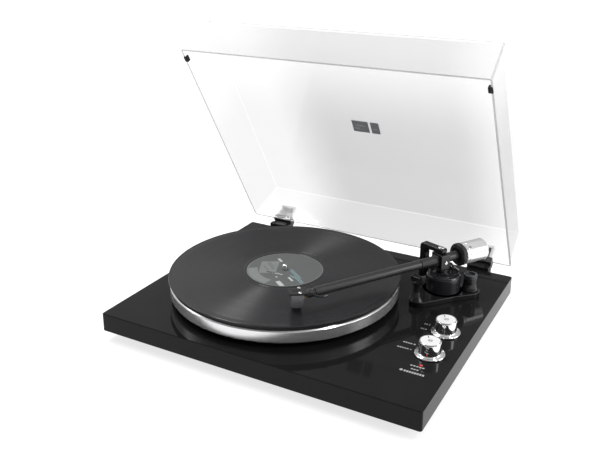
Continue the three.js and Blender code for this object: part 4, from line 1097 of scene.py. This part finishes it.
def buildCover(s):
    top = s["base"] + s["height"]
    shoulder = 1 - s["round"] / s["height"]  # how far up the walls the rounding starts
    loops = [coverLoop(0, 0, s["base"], s["corner"]), coverLoop(shoulder, 0, top - s["round"], s["corner"])]
    for k in range(1, s["steps"] + 1):
        a = math.pi / 2 * k / s["steps"]
        inset = s["round"] * (1 - math.cos(a))
        loops.append(coverLoop(1, inset, top - s["round"] * (1 - math.sin(a)), s["corner"] - inset * 0.5))
    innerTop = top - s["wall"]
    inner = []
    for k in range(s["steps"], 0, -1):
        a = math.pi / 2 * k / s["steps"]
        inset = s["wall"] + s["innerRound"] * (1 - math.cos(a))
        inner.append(coverLoop(1, inset, innerTop - s["innerRound"] * (1 - math.sin(a)), s["corner"] - 2.2))
    inner.append(coverLoop(0, s["wall"], s["base"], s["corner"] - 2))
    bm = bmesh.new()
    outerRings = [[bm.verts.new(Vector(p) / 1000) for p in loop] for loop in loops]
    innerRings = [[bm.verts.new(Vector(p) / 1000) for p in loop] for loop in inner]
    count = len(outerRings[0])

    allRound = range(count)
    frontWall = [*range(8), *range(27, count)]  # the front wall and its two corners
    frontCorners = (2, 3, 4, 5, 29, 30, 31, 32)

    def band(a, b, slotIndex, onlyAt):
        for i in range(count):
            j = (i + 1) % count
            face = bm.faces.new((a[i], a[j], b[j], b[i]))
            face.material_index = slotIndex if i in onlyAt else 0

    # Slot 2, the painted reflection lines, goes on the front corners and along the front of the top rounding.
    for k, (a, b) in enumerate(zip(outerRings, outerRings[1:])):
        band(a, b, 2, frontCorners if k == 0 else frontWall)
    bm.faces.new(outerRings[-1])
    bm.faces.new(list(reversed(innerRings[0])))
    for a, b in zip(innerRings, innerRings[1:]):
        band(a, b, 0, allRound)
    band(innerRings[-1], outerRings[0], 1, allRound)
    return bm


def paintCoverReflection(material):
    # Painted reflection: the sheet's opacity is set by position, so it is clearest at the left and looks
    # greyest across its middle.
    tree = material.node_tree
    shader = tree.nodes["Principled BSDF"]
    amount = shader.inputs["Alpha"].links[0].from_socket
    where = tree.nodes.new("ShaderNodeTexCoord")
    shutAgain = tree.nodes.new("ShaderNodeMapping")  # back to the shut cover's own directions
    shutAgain.inputs["Rotation"].default_value = (math.radians(coverShape["open"]), 0, 0)
    tree.links.new(where.outputs["Object"], shutAgain.inputs["Vector"])
    split = tree.nodes.new("ShaderNodeSeparateXYZ")
    tree.links.new(shutAgain.outputs["Vector"], split.inputs["Vector"])
    for axis, start, end, atStart, atEnd in coverReflectionSweeps:
        amount = multiplied(tree, ranged(tree, split.outputs[axis], start, end, atStart, atEnd), amount)
    tree.links.new(amount, shader.inputs["Alpha"])


paintCoverReflection(clearAcrylic)
coverObj = piece("cover_shell", buildCover(coverShape), "cover", clearAcrylic, coverAt, swing,
                 ["dust_cover"], 30)
coverObj.data.materials.append(acrylicEdge)  # slot 1, the rim
coverObj.data.materials.append(acrylicReflectionLine)  # slot 2, painted reflection lines along the front edges

badgeZ = coverShape["base"] + coverShape["height"] - coverShape["wall"] - 0.05


def badgeBar(x0, x1, y0, y1, thick):
    return block(x0, x1, y0 - hingeSpot.y, y1 - hingeSpot.y, badgeZ - thick - hingeSpot.z,
                 badgeZ - hingeSpot.z, 0.6, 0.1)


paneHalf, paneThick, markThick = 10.5, 0.5, 0.7
piece("badge_panes", merged(badgeBar(-22, 2.5, -paneHalf, paneHalf, paneThick),
                            badgeBar(5.8, 18.5, -paneHalf, paneHalf, paneThick)),
      "cover", badgeDark, coverAt, swing)
piece("badge_marks", merged(badgeBar(-17, -3, -3, -0.5, markThick), badgeBar(-19, -12, 2.5, 5, markThick),
                            badgeBar(8.5, 15, 1, 3, markThick)),
      "cover", badgePale, coverAt, swing)

# Heights count from the hinge line, the screws' from the deck. "half" values are half widths.
hingeShape = {"inset": 49, "half": 15.5, "cheek": 9.8, "round": 6, "pin": 2.4, "pinCap": 4.5, "plate": 2.2,
              "screwOut": 9.5, "screwHeight": -16.5, "knuckleHalf": 9.4, "blockLow": 7, "blockHigh": 16,
              "tongueHalf": 9.8, "tongueTop": 32.2, "socketHalf": 13, "slotHalf": 10.3, "slotTop": 32.8,
              "socketTop": 35.3}
padShape = {"half": 1.5, "back": 11.5, "long": 9, "low": 0.3, "high": 5, "lip": 1.3}
hingeX = plinthWidth / 2 - hingeShape["inset"]
hy, hz = hingeSpot.y, hingeSpot.z
h = hingeShape
for name, sign in (("left", -1), ("right", 1)):
    x = sign * hingeX
    low, high = span("hinge_base_" + name)
    plateY = plinthDepth / 2 + 0.3
    backPlate = block(x - h["half"], x + h["half"], plateY, plateY + h["plate"], low.z, hz + h["round"],
                      0.9, 0.4)

    def cheek(x0, x1):
        outline = []
        for k in range(19):
            a = math.radians(-90 + 180 * k / 18)
            outline.append((hy + h["round"] * math.cos(a), hz + h["round"] * math.sin(a)))
        outline += [(plateY + 1, hz + h["round"]), (plateY + 1, hz - h["round"])]
        return tipped(prism(outline, x0, x1, 0.5, 2))

    def rodX(radius, x0, x1, edge=0.3):
        bm = lathe(softened([(0, x0), (radius, x0), (radius, x1), (0, x1)], edge, 2), 40)
        return moved(bm, Matrix.Translation((0, hy / 1000, hz / 1000)) @ along((1, 0, 0)).to_4x4())

    screws = []
    for sx in (-h["screwOut"], h["screwOut"]):
        head = lathe(softened([(0, 0), (2.6, 0), (2.3, 0.7), (0, 1.0)], 0.3, 2), 28)
        spot = Vector((x + sx, plateY + h["plate"], h["screwHeight"])) / 1000
        screws.append(moved(head, Matrix.Translation(spot) @ along((0, 1, 0)).to_4x4()))
    piece("hinge_fixed_" + name,
          merged(backPlate, cheek(x - h["half"], x - h["cheek"]), cheek(x + h["cheek"], x + h["half"]),
                 rodX(h["pin"], x - h["half"] + 0.1, x + h["half"] - 0.1),
                 rodX(h["pinCap"], x - h["half"] - 0.8, x - h["half"] + 0.2),
                 rodX(h["pinCap"], x + h["half"] - 0.2, x + h["half"] + 0.8)),
          "base", satinBlack, instead=["hinge_base_" + name], sharp=35)
    piece("hinge_screws_" + name, merged(*screws), "base", steelGrey)

    def across(points, x0, x1, edge=0.5):
        return tipped(prism([(a - hy, b - hz) for a, b in points], x0, x1, edge, 3))

    blockLow, blockHigh = hz + h["blockLow"], hz + h["blockHigh"]
    blockSide = softened([(hy - 9, blockLow + 1), (hy - 6, blockLow), (hy + 5, blockLow),
                          (hy + 7, blockLow + 2), (hy + 5, blockHigh), (hy - 9, blockHigh)], 1.2, 4, True)
    swingBlock = across(blockSide, x - h["half"], x + h["half"], 0.9)
    left, right = x - h["knuckleHalf"], x + h["knuckleHalf"]
    knuckle = lathe(softened([(0, left), (h["round"], left), (h["round"], right), (0, right)], 0.4, 2), 48)
    knuckle = moved(knuckle, along((1, 0, 0)).to_4x4())
    web = across([(hy - 4.5, hz + 3.5), (hy + 4.5, hz + 3.5), (hy + 4.5, blockLow + 2),
                  (hy - 4.5, blockLow + 2)],
                 left, right, 0.3)
    piece("hinge_arm_" + name, merged(swingBlock, knuckle, web), "cover", satinBlack,
          coverAt, swing, ["hinge_leaf_" + name], 35)
    tongueLow, tongueTop = blockHigh - 0.4, hz + h["tongueTop"]
    tongueSide = [(hy - 8.4, tongueLow), (hy - 6.1, tongueLow), (hy - 6.1, tongueTop), (hy - 8.4, tongueTop)]
    tongue = across(softened(tongueSide, 0.5, 3, True), x - h["tongueHalf"], x + h["tongueHalf"], 0.8)
    piece("hinge_tongue_" + name, tongue, "cover", tongueSteel, coverAt, swing)

    def wallAt(z):
        s = coverShape
        return s["rear"] + s["rearFlare"] * (z - s["base"]) / s["height"]

    socketLow, socketHigh = blockHigh + 0.35, hz + h["socketTop"]
    back = hy - 6 + 2.6
    nearSide, farSide = hy - 8.8, hy - 5.7  # the slot that the tongue slides into
    slotBox = [(nearSide, socketLow), (farSide, socketLow), (farSide, socketHigh), (nearSide, socketHigh)]
    slotTop = hz + h["slotTop"]
    slotRoof = [(nearSide, slotTop), (farSide, slotTop), (farSide, socketHigh), (nearSide, socketHigh)]
    wide, inside = h["socketHalf"], h["slotHalf"]
    walls = [
        across(softened([(wallAt(socketLow) + 0.3, socketLow), (nearSide, socketLow), (nearSide, socketHigh),
                         (wallAt(socketHigh) + 0.3, socketHigh)], 0.2, 2, True), x - wide, x + wide, 0.3),
        across([(farSide, socketLow), (back, socketLow), (back, socketHigh - 2), (back - 2, socketHigh),
                (farSide, socketHigh)], x - wide, x + wide, 0.3),
        across(slotBox, x - wide, x - inside, 0.1), across(slotBox, x + inside, x + wide, 0.1),
        across(slotRoof, x - inside, x + inside, 0.1),
    ]
    piece("hinge_pocket_" + name, merged(*walls), "cover", clearSocket, coverAt, swing,
          ["hinge_socket_" + name], 35)
    q = padShape
    bx = sign * (coverShape["rimHalf"] - coverShape["wall"] - 0.3 - 1.6)
    y0 = coverShape["front"] + q["back"] - hy
    y1 = y0 + q["long"]
    ends = sorted((bx - sign * q["half"], sign * (coverShape["rimHalf"] - 0.1)))
    pad = merged(prism(roundedBox(bx - q["half"], bx + q["half"], y0, y1, 1.2, 5), q["low"] - hz,
                       q["high"] - hz, 0.5, 3),
                 prism(roundedBox(ends[0], ends[1], y0, y1, 1.4, 5), q["low"] - hz, q["lip"] - hz, 0.35, 3))
    piece("cover_pad_" + name, pad, "cover", rubberBlack, coverAt, swing, ["cover_bumper_" + name])
print("cover built")

# Feet and bottom screws
for node in ("foot_front_left", "foot_front_right", "foot_rear_left", "foot_rear_right"):
    low, high = span(node)
    x, y = middleOf(low, high)
    r = (high.x - low.x) / 2
    g, t = low.z, -slabHeight - 0.3
    foot = [(0, g + 0.6), (9, g + 0.6), (10, g), (15.4, g), (16.2, g + 0.8), (r - 1.5, g + 1.8),
            (r, t - 3.4), (r - 0.6, t - 2.8), (r - 0.6, t - 2.0), (r, t - 1.4), (r - 1.2, t), (3.7, t),
            (3.7, high.z), (0, high.z)]
    piece(node + "_cup", lathe(softened(foot, 0.5, 3), 72), "base", rubberBlack, (x, y, 0),
          instead=[node])
panelScrews = []
panelSpots = {"aside": 188, "along": 152}
for sx in (-1, 1):
    for sy in (-1, 0, 1):
        head = lathe(softened([(0, 0), (3.2, 0), (2.6, 0.9), (0.9, 1.1), (0.7, 0.7), (0, 0.7)], 0.2, 2), 24)
        spot = Vector((sx * panelSpots["aside"], sy * panelSpots["along"], -slabHeight)) / 1000
        panelScrews.append(moved(head, Matrix.Translation(spot) @ Matrix.Rotation(math.pi, 4, "X")))
piece("panel_screws", merged(*panelScrews), "base", steelGrey)
print("feet built")

# Floor and light
floorMesh = bpy.data.meshes.new("floor")
floorSize = 12.0
floorMesh.from_pydata([(-floorSize, -floorSize, 0), (floorSize, -floorSize, 0), (floorSize, floorSize, 0),
                       (-floorSize, floorSize, 0)], [], [(0, 1, 2, 3)])
floorMesh.materials.append(finish("floorPaper", (0.5, 0.5, 0.5), rough=0.9, tint=0.004, tintScale=2,
                                  level=0.2))
floor = bpy.data.objects.new("floor", floorMesh)
floor.location.z = min(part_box(n)[0].z for n in ("foot_front_left", "foot_rear_right"))
bpy.context.scene.collection.objects.link(floor)

studio = {
    "low": 0.5, "high": 0.75, "front": 0.3, "sides": 1.4, "floorGlow": 0.74,
    "sun": {"turn": 160, "rise": 60, "strength": 1.5, "spread": 12},
    "lamps": [
        {"name": "rightStrip", "at": (0.62, 0.08, 0.25), "aim": (0.26, 0.08, -0.04), "size": 0.3,
         "power": 1.0},
        {"name": "rightSoft", "at": (1.2, -0.2, 1.5), "aim": (0.1, 0, 0.1), "size": 0.3, "power": 5},
        {"name": "leftSoft", "at": (-1.5, -0.4, 1.2), "aim": (0, 0, 0.1), "size": 0.7, "power": 4},
    ],
}
world = bpy.data.worlds.new("studio")
world.use_nodes = True
bpy.context.scene.world = world
sky = world.node_tree
where = sky.nodes.new("ShaderNodeTexCoord")
split = sky.nodes.new("ShaderNodeSeparateXYZ")
sky.links.new(where.outputs["Generated"], split.inputs["Vector"])
rise = ranged(sky, split.outputs["Z"], 0.35, 0.85, studio["low"], studio["high"])
depth = ranged(sky, split.outputs["Y"], -0.7, 0.2, studio["front"], 1.0)
leftward = ranged(sky, split.outputs["X"], -0.75, -0.2, studio["sides"], 1.0)
sky.links.new(multiplied(sky, multiplied(sky, rise, depth), leftward),
              sky.nodes["Background"].inputs["Strength"])
sky.nodes["Background"].inputs["Color"].default_value = (1, 1, 1, 1)
floorShader = floorMesh.materials[0].node_tree.nodes["Principled BSDF"]
floorShader.inputs["Emission Color"].default_value = (1, 1, 1, 1)
floorShader.inputs["Emission Strength"].default_value = studio["floorGlow"]
sunData = bpy.data.lights.new("keySun", "SUN")
sunData.energy = studio["sun"]["strength"]
sunData.angle = math.radians(studio["sun"]["spread"])
sun = bpy.data.objects.new("keySun", sunData)
turn, up = math.radians(studio["sun"]["turn"]), math.radians(studio["sun"]["rise"])
toSun = Vector((math.cos(up) * math.cos(turn), math.cos(up) * math.sin(turn), math.sin(up)))
sun.location = toSun * 3
sun.rotation_euler = (-toSun).to_track_quat("-Z", "Y").to_euler()
bpy.context.scene.collection.objects.link(sun)
for lamp in studio["lamps"]:
    data = bpy.data.lights.new(lamp["name"], "AREA")
    data.shape = "DISK"
    data.size = lamp["size"]
    data.energy = lamp["power"]
    obj = bpy.data.objects.new(lamp["name"], data)
    obj.location = lamp["at"]
    obj.rotation_euler = (Vector(lamp["aim"]) - Vector(lamp["at"])).to_track_quat("-Z", "Y").to_euler()
    bpy.context.scene.collection.objects.link(obj)
print("studio ready")
